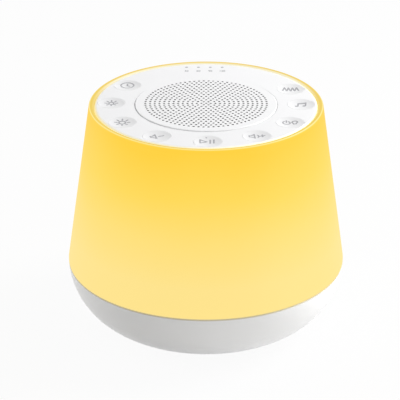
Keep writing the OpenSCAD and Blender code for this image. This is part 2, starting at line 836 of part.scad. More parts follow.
module lamp_board() color("white") difference() {
    translate([0, 0, floor_top]) ring(lamp_board_out_r, lamp_board_in_r, board_t);
    around(lamp_screw_az, lamp_screw_ring_r) translate([0, 0, floor_top - cut]) {
        cylinder(d = board_screw_d + 0.3, h = board_t + 2 * cut);
    }
}

module lamp_leds() color("lightyellow") {
    around([for (i = [0:lamp_count - 1]) i * 360 / lamp_count], lamp_ring_r) {
        translate([-lamp_w / 2, -lamp_w / 2, lamp_top]) cube([lamp_w, lamp_w, lamp_h]);
    }
}

module main_board() color("seagreen") difference() {
    translate([0, 0, main_bottom]) {
        cylinder(r = main_board_r, h = board_t);
        translate([-main_tab_w / 2, 0, 0]) cube([main_tab_w, main_tab_y, board_t]);
    }
    around(post_az, post_ring_r) translate([0, 0, main_bottom - cut]) {
        cylinder(r = post_r + 0.4, h = board_t + 2 * cut);
    }
    around(stand_az, stand_ring_r) translate([0, 0, main_bottom - cut]) {
        cylinder(d = board_screw_d + 0.3, h = board_t + 2 * cut);
    }
}

module power_inlet() color("silver") translate([0, inlet_y - inlet_l, inlet_z]) {
    back_l = 2;
    tongue_w = 6.7;
    tongue_h = 0.7;
    tongue_l = 4.9;
    difference() {
        slot_bar(inlet_w, inlet_h, inlet_l);
        translate([0, back_l, 0]) {
            slot_bar(inlet_w - 2 * inlet_wall, inlet_h - 2 * inlet_wall, inlet_l);
        }
    }
    translate([-tongue_w / 2, back_l - 0.5, -tongue_h / 2]) {
        cube([tongue_w, tongue_l + 0.5 - 0.3, tongue_h]);
    }
}

// Processor, its two power transistors and the amplifier's capacitors
module circuit_parts() color("darkslategray") {
    edge_y = capacitor_r + 4 - main_board_r;
    transistor_w = chip_w / 2;
    chip_h = chip_w / 6;
    translate([-chip_w / 2, -chip_w / 2, main_top]) cube([chip_w, chip_w, chip_h]);
    for (side = [-1, 1]) {
        translate([side * 2 * capacitor_r, edge_y, main_top]) {
            cylinder(r = capacitor_r, h = capacitor_h);
        }
        translate([side * (post_ring_r + post_r) - transistor_w / 2, -transistor_w / 2, main_top]) {
            cube([transistor_w, transistor_w, chip_h]);
        }
    }
}

// Socket on the main board, with its wall around wires that take up w along X and l along Y
module wire_socket(w, l) {
    translate([-w / 2 - socket_wall, -l / 2 - socket_wall, main_top]) {
        cube([w + 2 * socket_wall, l + 2 * socket_wall, socket_h]);
    }
}

module wire_sockets() color("ivory") {
    translate([0, terminal_y, 0]) wire_socket(2 * speaker_wire_x + wire_d, wire_d);
    around([cable_az], cable_r) wire_socket(cable_t, cable_w);
    around([lamp_wire_az], lamp_wire_r) wire_socket(wire_d, 2 * lamp_wire_pitch + wire_d);
}

// Basket with its flange, its six windows and the step that carries the spider
module speaker_basket() color("dimgray") difference() {
    window_w = 9;
    step_r = spider_r - 1.2;
    step_lean = (basket_mouth_r - basket_floor_r) * (spider_z - basket_bottom) / basket_h;
    rotate_extrude() polygon([
        [basket_mouth_r, flange_bottom], [basket_mouth_r, flange_top], [flange_r, flange_top],
        [flange_r, flange_bottom], [basket_mouth_r + basket_t, flange_bottom],
        [basket_floor_r + basket_t, basket_bottom], [gap_r + 1, basket_bottom],
        [gap_r + 1, basket_bottom + basket_t], [step_r, basket_bottom + basket_t],
        [step_r, spider_z], [basket_floor_r + step_lean, spider_z]
    ]);
    for (turn = [30:60:330]) rotate([0, 0, turn]) {
        translate([basket_floor_r - 3, -window_w / 2, spider_z + 1]) {
            cube([flange_r, window_w, flange_bottom - spider_z - 3]);
        }
    }
}

module speaker_gasket() color("black") translate([0, 0, flange_top]) {
    ring(flange_r, grille_open_r + 0.2, gasket_t);
}

module speaker_yoke() color("silver") translate([0, 0, yoke_bottom]) {
    cylinder(r = plate_r, h = plate_t);
    cylinder(r = pole_r, h = basket_bottom - yoke_bottom);
}

module speaker_magnet() color("darkslategray") translate([0, 0, magnet_bottom]) {
    ring(magnet_r, magnet_in_r, magnet_t);
}

module speaker_top_plate() color("silver") translate([0, 0, plate_bottom]) {
    ring(plate_r, gap_r, plate_t);
}

module speaker_cone() color("dimgray") rotate_extrude() {
    polygon([
        [coil_out_r, cone_neck_z], [coil_out_r, cone_neck_top],
        [cone_r - 1.3, flange_top], [cone_r, flange_top], [cone_r, flange_top - cone_t],
        [cone_r - 1, flange_top - cone_t]
    ]);
}

module speaker_dust_cap() color("gray") {
    cap_ball_r = 9;
    drop = sqrt(cap_ball_r * cap_ball_r - coil_out_r * coil_out_r);
    difference() {
        translate([0, 0, cone_neck_top - drop]) sphere(r = cap_ball_r);
        translate([0, 0, cone_neck_top - drop]) sphere(r = cap_ball_r - 0.4);
        translate([0, 0, cone_neck_top - 4 * cap_ball_r]) {
            cylinder(r = 2 * cap_ball_r, h = 4 * cap_ball_r);
        }
    }
}

module voice_coil() color("peru") {
    coil_bottom = basket_bottom - plate_t / 2 - winding_h / 2;
    translate([0, 0, coil_bottom]) {
        ring(coil_out_r, coil_r, cone_neck_top - coil_bottom);
    }
    translate([0, 0, coil_bottom]) ring(coil_out_r + winding_t, coil_out_r, winding_h);
}

// Ring with round corrugations, from the coil to the basket's shelf
module speaker_spider() color("goldenrod") {
    spider_t = 0.3;
    wave_h = 0.5;
    waves = 3;
    steps = 8 * waves;
    wave_in_r = coil_out_r + 0.8;
    wave_l = spider_r - 1.6 - wave_in_r;
    wave_line = [for (i = [0:steps]) [
        wave_in_r + wave_l * i / steps, spider_z + wave_h * (1 - cos(360 * waves * i / steps)) / 2
    ]];
    under = concat([[coil_out_r, spider_z]], wave_line, [[spider_r, spider_z]]);
    last = len(under) - 1;
    over = [for (i = [last:-1:0]) under[i] + [0, spider_t]];
    rotate_extrude() polygon(concat(under, over));
}

module speaker_surround() color("black") rotate_extrude() difference() {
    union() {
        translate([cone_r + roll_r, flange_top]) circle(r = roll_r + surround_t);
        translate([cone_r - 1.2, flange_top]) square([1.2, surround_t]);
        translate([basket_mouth_r, flange_top]) square([1.6, surround_t]);
    }
    translate([cone_r + roll_r, flange_top]) circle(r = roll_r);
    translate([0, flange_top - 2 * roll_r]) square([flange_r, 2 * roll_r]);
}

module speaker_terminals() color("tan") {
    translate([-terminal_w / 2, terminal_y - terminal_t / 2, flange_bottom - terminal_h]) {
        cube([terminal_w, terminal_t, terminal_h]);
    }
}

// Two wires that bow towards the middle between the terminals and the frame's floor
module speaker_wires() color("firebrick") {
    bow = 3.5;
    bow_low = floor_top + 3;
    steps = 18;
    wire_top = flange_bottom - terminal_h;
    for (side = [-1, 1]) {
        wire(concat([for (i = [0:steps]) [
            side * speaker_wire_x, terminal_y - bow * (1 - cos(360 * i / steps)) / 2,
            wire_top + (bow_low - wire_top) * i / steps
        ]], [[side * speaker_wire_x, terminal_y, socket_top]]), wire_d);
    }
}

module control_cable() color("lightgray") around([cable_az], cable_r) {
    translate([-cable_t / 2, -cable_w / 2, socket_top]) {
        cube([cable_t, cable_w, control_bottom - socket_top]);
    }
}

module lamp_wires() color("firebrick") around([lamp_wire_az], lamp_wire_r) {
    for (i = [-1:1]) translate([0, i * lamp_wire_pitch, socket_top]) {
        cylinder(d = wire_d, h = floor_top - socket_top);
    }
}

base_shell();
foot_pad();
lamp_shade();
top_panel();
speaker_grille();
dust_screen();
key_timer();
key_light_down();
key_light_up();
key_volume_down();
key_play_pause();
key_volume_up();
key_power();
key_music();
key_noise();
switch_timer();
switch_light_down();
switch_light_up();
switch_volume_down();
switch_play_pause();
switch_volume_up();
switch_power();
switch_music();
switch_noise();
plunger_timer();
plunger_light_down();
plunger_light_up();
plunger_volume_down();
plunger_play_pause();
plunger_volume_up();
plunger_power();
plunger_music();
plunger_noise();
timer_light_pipe();
timer_leds();
control_board();
inner_frame();
frame_screws();
base_screws();
board_screws();
lamp_board();
lamp_leds();
main_board();
power_inlet();
circuit_parts();
wire_sockets();
speaker_basket();
speaker_gasket();
speaker_yoke();
speaker_magnet();
speaker_top_plate();
speaker_cone();
speaker_dust_cap();
voice_coil();
speaker_spider();
speaker_surround();
speaker_terminals();
speaker_wires();
control_cable();
lamp_wires();
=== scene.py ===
"""White noise sound machine with a lamp shade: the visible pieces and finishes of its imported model.

Each operator makes one piece, or a group of like pieces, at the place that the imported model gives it.
Everything is in metres, with +Z up and the front facing -Y.
"""
import json
import math

import bmesh
import bpy
from bpy.props import FloatProperty, FloatVectorProperty, PointerProperty
from mathutils import Matrix, Vector


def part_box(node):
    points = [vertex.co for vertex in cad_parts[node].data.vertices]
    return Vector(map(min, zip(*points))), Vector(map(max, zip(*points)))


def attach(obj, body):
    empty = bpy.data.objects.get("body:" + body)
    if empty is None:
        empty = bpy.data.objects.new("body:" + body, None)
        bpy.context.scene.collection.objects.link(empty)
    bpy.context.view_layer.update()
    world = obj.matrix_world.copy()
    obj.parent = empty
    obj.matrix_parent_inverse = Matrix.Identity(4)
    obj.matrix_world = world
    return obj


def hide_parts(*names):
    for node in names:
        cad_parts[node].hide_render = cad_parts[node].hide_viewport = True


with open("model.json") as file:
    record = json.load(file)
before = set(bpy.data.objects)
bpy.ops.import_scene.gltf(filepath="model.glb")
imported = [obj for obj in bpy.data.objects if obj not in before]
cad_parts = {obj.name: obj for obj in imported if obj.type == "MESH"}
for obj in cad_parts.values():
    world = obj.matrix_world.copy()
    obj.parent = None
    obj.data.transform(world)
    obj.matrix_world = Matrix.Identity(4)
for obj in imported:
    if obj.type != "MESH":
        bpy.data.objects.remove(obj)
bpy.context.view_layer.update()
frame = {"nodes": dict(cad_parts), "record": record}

bl_info = {
    "name": "Sound Machine Maker",
    "version": (1, 0, 0),
    "blender": (4, 5, 0),
    "location": "View3D > Sidebar > Sound Machine",
    "description": "Makes the shells, keys, printed signs and finishes of a white noise sound machine",
    "category": "Object",
}

MM = 0.001
SAME = 1e-6  # two points closer than this are one point

# Faces round the turned shapes
WIDE_FACES = 256  # the shade and the panel's edge
BASE_FACES = 192  # the base and the opening for the grille
KEY_FACES = 96
KEY_HOLE_FACES = 80
POST_FACES = 48
BAR_FACES = 62  # the round ends of the inlet's opening, together
BOSS_FACES = 32
PIN_FACES = 24  # the holes for pegs and lights

BOSS_BEARINGS = (75, 163.25, 255.5, 344.75)  # degrees, under the gaps between keys
MINUTES = (30, 60, 90, 120)
LAMP_SIZE = 0.45
# Each lamp's distance, and its bearing and elevation in degrees. StageSettings has its power.
LAMPS = {
    "key": (0.75, 15, 32), "side": (0.9, -25, 8), "edge": (0.9, 155, 10), "fill": (0.9, 205, 2),
}


def middle(node):
    """Middle of a node's box."""
    low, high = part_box(node)
    return (low + high) / 2


def linear(red, green, blue):
    """A colour of 0 to 255, as a screen shows it, in the linear values that shaders use."""
    return tuple(
        part / 255 / 12.92 if part < 11 else ((part / 255 + 0.055) / 1.055) ** 2.4
        for part in (red, green, blue)
    )


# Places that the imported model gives

SHADE_LOW, SHADE_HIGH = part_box("lamp_shade")
PANEL_LOW, PANEL_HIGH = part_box("top_panel")
GRILLE_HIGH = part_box("speaker_grille")[1]
BASE_LOW, BASE_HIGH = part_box("base_shell")
FOOT_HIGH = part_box("foot_pad")[1]
INLET_LOW, INLET_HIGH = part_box("power_inlet")
LIGHTS_LOW, LIGHTS_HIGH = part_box("timer_light_pipe")
KEY_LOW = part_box("key_play_pause")[0]


# Sizes and colours


def length(name, description, default):
    return FloatProperty(
        name=name, description=description, default=default, subtype="DISTANCE",
        unit="LENGTH", precision=5,
    )


def angle(name, description, degrees):
    return FloatProperty(
        name=name, description=description, default=math.radians(degrees), subtype="ANGLE",
        unit="ROTATION",
    )


def colour(name, description, red, green, blue):
    return FloatVectorProperty(
        name=name, description=description, default=linear(red, green, blue),
        subtype="COLOR", size=3, min=0, max=1,
    )


class ShellSizes(bpy.types.PropertyGroup):
    """Sizes of the bowl-shaped base and the lamp shade"""

    body_r: length("Body Radius", "Outside radius at the widest part", SHADE_HIGH.x)
    bowl_r: length("Bowl Radius", "Radius of the bowl's round side", 25.7 * MM)
    base_wall: length("Base Wall", "Wall thickness of the base", 2.2 * MM)
    pad_in_r: length("Pad Inner Radius", "Inner radius of the foot pad's groove", 22.3 * MM)
    well_r: length("Well Radius", "Radius of the screw wells under the base", 3.3 * MM)
    well_top: length("Well Top", "Height of the screw wells' ends", 8 * MM)
    post_r: length("Post Radius", "Radius of the screw posts inside the base", 5 * MM)
    post_top: length("Post Top", "Height of the screw posts' ends", 22 * MM)
    post_ring_r: length("Post Circle", "Radius of the circle of screw posts", 18 * MM)
    screw_hole_r: length("Screw Hole Radius", "Radius of the hole in a screw post", 1.65 * MM)
    collar_wall: length("Collar Wall", "Thickness of the collar that locates the shade", 2 * MM)
    collar_root: length("Collar Root", "Depth of the collar's rib below the seam", 5 * MM)
    taper: angle("Taper", "Lean of the shade's side", 8.2)
    shade_wall: length("Shade Wall", "Wall thickness of the shade", 2 * MM)
    seam_gap: length("Seam Gap", "Height of the shadow gap in the seam", 0.3 * MM)
    seam_depth: length("Seam Depth", "Depth of the shadow gap in the seam", 0.7 * MM)
    collar_gap: length("Collar Gap", "Clearance around the base's collar", 0.2 * MM)
    rim_r: length("Rim Rounding", "Radius of the rounding on the rim's outer edge", 0.8 * MM)
    lip_round: length("Lip Rounding", "Radius of the rounding on its inner edge", 1.1 * MM)
    ledge_w: length("Ledge Width", "Width of the ledge that carries the panel", 1.8 * MM)
    ledge_t: length("Ledge Thickness", "Thickness of the ledge that carries the panel", 1.5 * MM)
    edge_r: length("Edge Rounding", "Rounding of the moulded edges", 0.25 * MM)
    inlet_gap: length("Inlet Gap", "Clearance around the power inlet", 0.3 * MM)
    inlet_recess: length("Inlet Recess", "Width of the recess around the power inlet", 2 * MM)
    inlet_step: length("Inlet Step", "Depth of the inlet's mouth below the recess", 0.3 * MM)
    block_d: length("Block Depth", "Depth of the thick wall behind the inlet's mouth", 3.6 * MM)
    block_w: length("Block Width", "Half width of that thick wall", 9 * MM)
    block_h: length("Block Height", "Half height of that thick wall", 6 * MM)


class PanelSizes(bpy.types.PropertyGroup):
    """Sizes of the top panel and its openings"""

    thickness: length("Thickness", "Thickness of the panel", 2.4 * MM)
    gap: length("Rim Gap", "Gap between the panel's edge and the rim", 0.15 * MM)
    edge: length("Edge", "Rounding of the panel's outer edge", 0.9 * MM)
    hole_edge: length("Hole Edge", "Rounding of the edges around the openings", 0.03 * MM)
    recess_edge: length("Recess Edge", "Rounding of the edge around the grille", 0.25 * MM)
    grille_gap: length("Grille Gap", "Gap around the speaker grille", 0.15 * MM)
    grille_t: length("Grille Thickness", "Thickness of the speaker grille", 1.2 * MM)
    shelf_w: length("Shelf Width", "Width of the shelf that carries the grille", 2.4 * MM)
    peg_hole_r: length("Peg Hole Radius", "Radius of the holes for the grille's pegs", 0.85 * MM)
    light_hole_r: length("Light Hole Radius", "Radius of the holes for the lights", 0.6 * MM)
    boss_ring_r: length("Boss Circle", "Radius of the circle of screw bosses", 31.138 * MM)
    boss_r: length("Boss Radius", "Radius of a screw boss", 2.6 * MM)
    boss_hole_r: length("Boss Hole Radius", "Radius of the hole in a screw boss", 1.25 * MM)


class KeySizes(bpy.types.PropertyGroup):
    """Sizes of the nine keys"""

    radius: length("Radius", "Radius of a key", 5.1 * MM)
    gap: length("Gap", "Gap around a key", 0.06 * MM)
    cap_t: length("Cap Thickness", "Thickness of a key's cap", 1.6 * MM)
    dish_depth: length("Dish Depth", "Depth of the dish in a key", 0.6 * MM)
    dish_edge: length("Dish Edge", "Width of the flat edge around the dish", 0.06 * MM)
    edge: length("Edge", "Rounding of a key's edges", 0.02 * MM)
    stem_r: length("Stem Radius", "Radius of the stem under a key", 3.5 * MM)
    tab_l: length("Tab Length", "Length across the two tabs", 12.2 * MM)
    tab_w: length("Tab Width", "Width of the tabs", 3 * MM)
    tab_t: length("Tab Thickness", "Thickness of the tabs", 0.85 * MM)
    tab_rest: length("Tab Clearance", "Gap between the tabs and the panel", 0.05 * MM)


class PrintSizes(bpy.types.PropertyGroup):
    """Sizes of the printed signs and numbers"""

    line_w: length("Line Width", "Width of a printed line", 0.62 * MM)
    ink_t: length("Ink Thickness", "Height of the ink above the plastic", 0.02 * MM)
    sign_rise: length("Sign Rise", "Distance of a sign behind the middle of its key", 0.9 * MM)
    number_h: length("Number Size", "Size of the numbers by the timer lights", 2.4 * MM)
    number_bold: length("Number Weight", "Thickening of the numbers' lines", 0.04 * MM)
    number_w: FloatProperty(
        name="Number Width", description="Width of a number against its letters' own", default=0.66,
    )
    number_drop: length("Number Distance", "Distance from a light to its number", 3.95 * MM)


class StageSettings(bpy.types.PropertyGroup):
    """Camera, floor and lights"""

    distance: length("Distance", "Distance of the camera from the point it looks at", 0.8)
    aim_z: length("Aim Height", "Height of the point the camera looks at", 41 * MM)
    elevation: angle("Elevation", "Elevation of the camera", 25.34)
    turn: angle("Turn", "Turn of the camera towards its left, away from the machine", 0.1604)
    tilt: angle("Tilt", "Tilt of the camera above the machine", 0.5111)
    lens: FloatProperty(
        name="Lens", description="Focal length of the camera in millimetres", default=190.7,
    )
    floor_r: length("Floor Radius", "Radius of the floor", 6.0)
    sky: FloatProperty(name="Sky", description="Strength of the even light", default=0.46)
    key_power: FloatProperty(name="Key Light", description="Power of the high light", default=5.6)
    side_power: FloatProperty(name="Side Light", description="Power of the low light", default=2.1)
    edge_power: FloatProperty(name="Edge Light", description="Power of the back light", default=2.0)
    fill_power: FloatProperty(name="Fill Light", description="Power of the left light", default=0.75)


class Finishes(bpy.types.PropertyGroup):
    """Colours of the visible surfaces"""

    shade_top: colour("Shade Top", "Colour of the shade under its rim", 255, 209, 56)
    shade_high: colour("Shade High", "Colour of the shade's upper part", 255, 217, 85)
    shade_mid: colour("Shade Middle", "Colour of the shade's middle", 255, 223, 118)
    shade_low: colour("Shade Low", "Colour of the shade's foot", 254, 227, 139)
    # painted shade: the rim is given a duller, darker gold than the side below it
    shade_rim: colour("Shade Rim", "Colour of the shade's rim", 238, 206, 90)
    # painted reflection: a pale colour on the rim's inner rounding
    shade_lip: colour("Shade Lip", "Colour of the rim's inner rounding", 248, 240, 206)
    # painted highlight: a pale stripe on the rim's outer rounding
    shade_crown: colour("Shade Crown", "Colour of the rim's outer rounding", 255, 240, 160)
    # painted highlight: a pale line along the shade's foot at the seam
    shade_edge: colour("Shade Edge", "Colour of the shade's thin edges", 246, 232, 176)
    glow: FloatProperty(name="Glow", description="Strength of the lamp's light", default=0.97)
    shell: colour("Shell", "Colour of the base", 235, 235, 235)
    # painted shadow: a darker band on the base just under the shade
    shell_seam: colour("Shell Seam", "Colour of the base's edge under the shade", 205, 200, 188)
    panel: colour("Panel", "Colour of the panel, the grille and the keys", 245, 245, 246)
    # painted glow: a yellow tint and a faint shine on the panel's outer edge
    panel_edge: colour("Panel Edge", "Colour of the panel's outer edge", 250, 244, 214)
    # painted shade: the dark colour put on the walls of the sound holes
    hole: colour("Hole", "Colour inside the grille's sound holes", 52, 46, 45)
    ink: colour("Ink", "Colour of the printed signs", 170, 170, 174)


# Shader graphs


class Value:
    """A number in a material's graph. Arithmetic on it adds Math nodes."""

    def __init__(self, graph, socket):
        self.graph = graph
        self.socket = socket

    def math(self, operation, *others, first=None):
        values = [self, *others] if first is None else [first, self, *others]
        return self.graph.value("Math", {"operation": operation}, dict(enumerate(values)))

    def __add__(self, other):
        return self.math("ADD", other)

    __radd__ = __add__

    def __mul__(self, other):
        return self.math("MULTIPLY", other)

    __rmul__ = __mul__

    def __sub__(self, other):
        return self.math("SUBTRACT", other)

    def __rsub__(self, other):
        return self.math("SUBTRACT", first=other)

    def __truediv__(self, other):
        return self.math("DIVIDE", other)

    def __rtruediv__(self, other):
        return self.math("DIVIDE", first=other)

    def __pow__(self, other):
        return self.math("POWER", other)

    def __abs__(self):
        return self.math("ABSOLUTE")

    def ramp(self, start, end):
        """0 up to start, 1 from end on, and smooth between them."""
        return self.graph.value(
            "MapRange", {"interpolation_type": "SMOOTHSTEP"},
            {"Value": self, "From Min": start, "From Max": end},
        )


class Graph:
    """The node graph of a new material, or of a world."""

    def __init__(self, name, world=None):
        self.owner = world or bpy.data.materials.new(name)
        self.owner.use_nodes = True
        self.tree = self.owner.node_tree
        self.tree.nodes.clear()

    def node(self, kind, settings, inputs):
        """Adds a node, makes its settings and then fills its sockets."""
        made = self.tree.nodes.new("ShaderNode" + kind)
        for setting, choice in settings.items():
            if setting == "stops":
                self.set_stops(made.color_ramp, choice)
            else:
                setattr(made, setting, choice)
        for socket, given in inputs.items():
            if isinstance(given, Value):
                self.tree.links.new(given.socket, made.inputs[socket])
            else:
                made.inputs[socket].default_value = given
        return made

    def set_stops(self, ramp, stops):
        """Gives a colour ramp its (place, colour) stops."""
        while len(ramp.elements) < len(stops):
            ramp.elements.new(1.0)
        for element, (place, shade) in zip(ramp.elements, stops):
            element.position = place
            element.color = (*shade, 1.0)

    def value(self, kind, settings=None, inputs=None, output=0):
        return Value(self, self.node(kind, settings or {}, inputs or {}).outputs[output])

    def place(self):
        """Object coordinates."""
        return self.value("TexCoord", output="Object")

    def axes(self):
        """X, Y and Z of the object coordinates."""
        split = self.node("SeparateXYZ", {}, {0: self.place()})
        return [Value(self, split.outputs[axis]) for axis in "XYZ"]

    def noise(self, size, detail=2.0, roughness=0.5):
        """Noise whose lumps are about size across."""
        return self.value(
            "TexNoise", {},
            {"Vector": self.place(), "Scale": 1 / size, "Detail": detail, "Roughness": roughness},
        )

    def grain(self, size):
        """The fine grain of moulded plastic."""
        return self.noise(size, detail=3.0, roughness=0.6)

    def clouded(self, shade):
        """A colour with faint, wide clouds in it."""
        return self.mix(self.noise(11 * MM), toned(shade, 0.985), toned(shade, 1.01))

    def mix(self, factor, first, second):
        """A colour between first at 0 and second at 1."""
        colours = [c if isinstance(c, Value) else (*c, 1.0) for c in (first, second)]
        return self.value(
            "Mix", {"data_type": "RGBA"}, {0: factor, 6: colours[0], 7: colours[1]}, output=2,
        )

    def bump(self, height, distance, strength=1.0):
        return self.value(
            "Bump", {}, {"Height": height, "Distance": distance, "Strength": strength},
            output="Normal",
        )

    def surface(self, inputs):
        """Ends the graph in a Principled shader with these inputs."""
        given = {
            socket: (*value, 1.0) if isinstance(value, tuple) else value
            for socket, value in inputs.items()
        }
        shader = self.value("BsdfPrincipled", {}, given)
        self.node("OutputMaterial", {}, {"Surface": shader})
        return self.owner


SHARED = {}


def shared(make, finishes):
    """A finish that several pieces have, made the first time that one asks for it."""
    if make not in SHARED:
        SHARED[make] = make(finishes)
    return SHARED[make]


def toned(shade, amount):
    """A colour made darker or lighter by a factor."""
    return tuple(min(part * amount, 1.0) for part in shade)


def reach(x, y):
    """Distance from an axis, by two coordinates across it."""
    return (x ** 2 + y ** 2) ** 0.5


# Finishes of the outside


def finish_shade(finishes):
    """Yellow plastic lit from inside, deeper under the rim and paler towards its foot.

    Nearly all its colour is the lamp's light, so the plastic's own colour is close to black.
    """
    graph = Graph("shade_plastic")
    x, y, z = graph.axes()
    span = SHADE_HIGH.z - SHADE_LOW.z
    height = (z - SHADE_LOW.z) / span
    bearing = y.math("ARCTAN2", x)
    cloud = graph.noise(14 * MM, detail=1.0)
    lamps = (bearing * 6).math("COSINE") * height.ramp(0.45, 0.95) * 0.03
    level = height + lamps + (cloud - 0.5) * 0.03
    body = graph.value("ValToRGB", {"stops": [
        (0.18, tuple(finishes.shade_low)), (0.45, tuple(finishes.shade_mid)),
        (0.7, tuple(finishes.shade_high)), (0.97, tuple(finishes.shade_top)),
    ]}, {0: level})
    beyond_panel = reach(x, y) - PANEL_HIGH.x
    # painted shade: the rim is painted a duller, darker gold than the side below it
    rim = 1 - beyond_panel.ramp(1.5 * MM, 1.8 * MM)
    # painted reflection: the rim's inner rounding is made paler, weakly at the front and most at the
    # back
    inner = 1 - beyond_panel.ramp(0.3 * MM, 1.1 * MM)
    lip = inner * (0.15 + y.ramp(2 * MM, 30 * MM) * 0.85)
    # painted highlight: a pale band on the rim's outer rounding, near its top, all the way round
    crown_highlight = z.ramp(SHADE_HIGH.z - 0.45 * MM, SHADE_HIGH.z - 0.15 * MM)
    # painted highlight: a pale line along the shade's foot, just above the seam
    foot = 1 - z.ramp(SHADE_LOW.z + 0.3 * MM, SHADE_LOW.z + 0.75 * MM)
    side = graph.mix(foot * 0.7, body, tuple(finishes.shade_edge))
    side = graph.mix(crown_highlight * 0.8, side, tuple(finishes.shade_crown))
    ridge = graph.mix(lip, tuple(finishes.shade_rim), tuple(finishes.shade_lip))
    tint = graph.mix(rim, side, ridge)
    grain = graph.noise(0.35 * MM, detail=3.0)
    return graph.surface({
        "Base Color": graph.mix(0.95, tint, (0.0, 0.0, 0.0)),
        "Roughness": 0.46 + grain * 0.08,
        "Specular IOR Level": 0.0,
        "Coat Weight": 0.6,
        "Coat Roughness": 0.5,
        "Normal": graph.bump(grain, 0.006 * MM),
        "Emission Color": tint,
        "Emission Strength": finishes.glow,
    })


def finish_moulding(name, shade, roughness, grain_size=0.4 * MM, depth=0.004 * MM):
    """Moulded plastic: an even colour with faint clouds, and a fine grain in its gloss."""
    graph = Graph(name)
    grain = graph.grain(grain_size)
    return graph.surface({
        "Base Color": graph.clouded(shade),
        "Roughness": roughness + (grain - 0.5) * 0.08,
        "Normal": graph.bump(grain, depth),
    })


def finish_shell(finishes):
    """White moulded plastic, with a little painted shadow in a band just under the shade's foot."""
    graph = Graph("white_shell")
    _, _, z = graph.axes()
    # painted shadow in the band just under the seam
    seam = z.ramp(SHADE_LOW.z - 0.5 * MM, SHADE_LOW.z - 0.1 * MM)
    grain = graph.grain(0.4 * MM)
    plain = graph.clouded(tuple(finishes.shell))
    return graph.surface({
        "Base Color": graph.mix(seam, plain, tuple(finishes.shell_seam)),
        "Roughness": 0.3 + (grain - 0.5) * 0.08,
        "Normal": graph.bump(grain, 0.004 * MM),
    })


def finish_panel(finishes):
    """White plastic with a little of the lamp's yellow light painted onto its outer edge as a painted
    glow.
    """
    graph = Graph("white_panel")
    x, y, _ = graph.axes()
    # painted glow: the outer edge is tinted yellow and made to shine, for the lamp's light falling on
    # it
    edge = reach(x, y).ramp(PANEL_HIGH.x - 1.0 * MM, PANEL_HIGH.x - 0.2 * MM)
    grain = graph.grain(0.3 * MM)
    plain = graph.clouded(tuple(finishes.panel))
    glow = toned(tuple(finishes.panel_edge), 0.33)
    return graph.surface({
        "Base Color": graph.mix(edge, plain, tuple(finishes.panel_edge)),
        "Roughness": 0.4 + grain * 0.08,
        "Normal": graph.bump(grain, 0.006 * MM),
        "Emission Color": graph.mix(edge, (0.0, 0.0, 0.0), glow),
        "Emission Strength": 1.0,
    })


def finish_grille(finishes):
    """The panel's plastic, with deep shadow inside the sound holes."""
    graph = Graph("grille_plastic")
    x, y, z = graph.axes()
    depth = 1 - z.ramp(GRILLE_HIGH.z - 0.14 * MM, GRILLE_HIGH.z - 0.02 * MM)
    inside = 1 - reach(x, y).ramp(GRILLE_HIGH.x - 1.75 * MM, GRILLE_HIGH.x - 1.55 * MM)
    grain = graph.grain(0.3 * MM)
    plain = graph.clouded(tuple(finishes.panel))
    return graph.surface({
        "Base Color": graph.mix(depth * inside, plain, tuple(finishes.hole)),
        "Roughness": 0.38 + grain * 0.08,
        "Normal": graph.bump(grain, 0.006 * MM),
    })


def finish_key(finishes):
    shade = toned(tuple(finishes.panel), 0.93)
    return finish_moulding("white_key", shade, 0.42, 0.3 * MM, 0.005 * MM)


def finish_ink(finishes):
    """Grey ink with slightly uneven cover."""
    graph = Graph("grey_ink")
    spots = graph.noise(0.12 * MM, detail=2.0)
    ink = tuple(finishes.ink)
    return graph.surface({
        "Base Color": graph.mix(spots, toned(ink, 0.88), toned(ink, 1.12)),
        "Roughness": 0.5 + spots * 0.1,
    })


def finish_rubber(name, shade, roughness=0.7, depth=0.02 * MM):
    """Rubber or foam with a dull, slightly dusty skin."""
    graph = Graph(name)
    pores = graph.noise(0.25 * MM, detail=4.0, roughness=0.65)
    dust = graph.noise(4 * MM, detail=3.0)
    return graph.surface({
        "Base Color": graph.mix(dust.ramp(0.4, 0.75) * 0.25, shade, toned(shade, 1.6)),
        "Roughness": roughness + pores * 0.12,
        "Normal": graph.bump(pores, depth),
    })


def finish_cloth(name, shade, pitch, roughness=0.85):
    """Woven cloth: threads that cross under and over in X and Y."""
    graph = Graph(name)
    x, y, _ = graph.axes()
    turn = 2 * math.pi / pitch
    across = (x * turn).math("SINE")
    along = (y * turn).math("SINE")
    weave = across * along * 0.5 + 0.5
    fuzz = graph.noise(pitch * 0.6, detail=2.0)
    return graph.surface({
        "Base Color": graph.mix(weave * fuzz, toned(shade, 0.55), toned(shade, 1.35)),
        "Roughness": roughness + fuzz * 0.1,
        "Normal": graph.bump(weave, pitch * 0.2, 0.6),
    })


def finish_metal(name, shade, roughness, metallic=1.0, stroke=0.2 * MM):
    """Plated or drawn metal: fine strokes in its gloss and faint stains."""
    graph = Graph(name)
    x, y, z = graph.axes()
    strokes = graph.value("TexNoise", {}, {
        "Vector": graph.value("CombineXYZ", {}, {"X": x * 0.1, "Y": y * 0.1, "Z": z}),
        "Scale": 1 / stroke, "Detail": 3.0,
    })
    stain = graph.noise(3 * MM, detail=3.0)
    return graph.surface({
        "Base Color": graph.mix(stain, toned(shade, 0.9), toned(shade, 1.05)),
        "Metallic": metallic,
        "Roughness": roughness + (strokes - 0.5) * 0.12,
        "Normal": graph.bump(strokes, 0.003 * MM),
    })


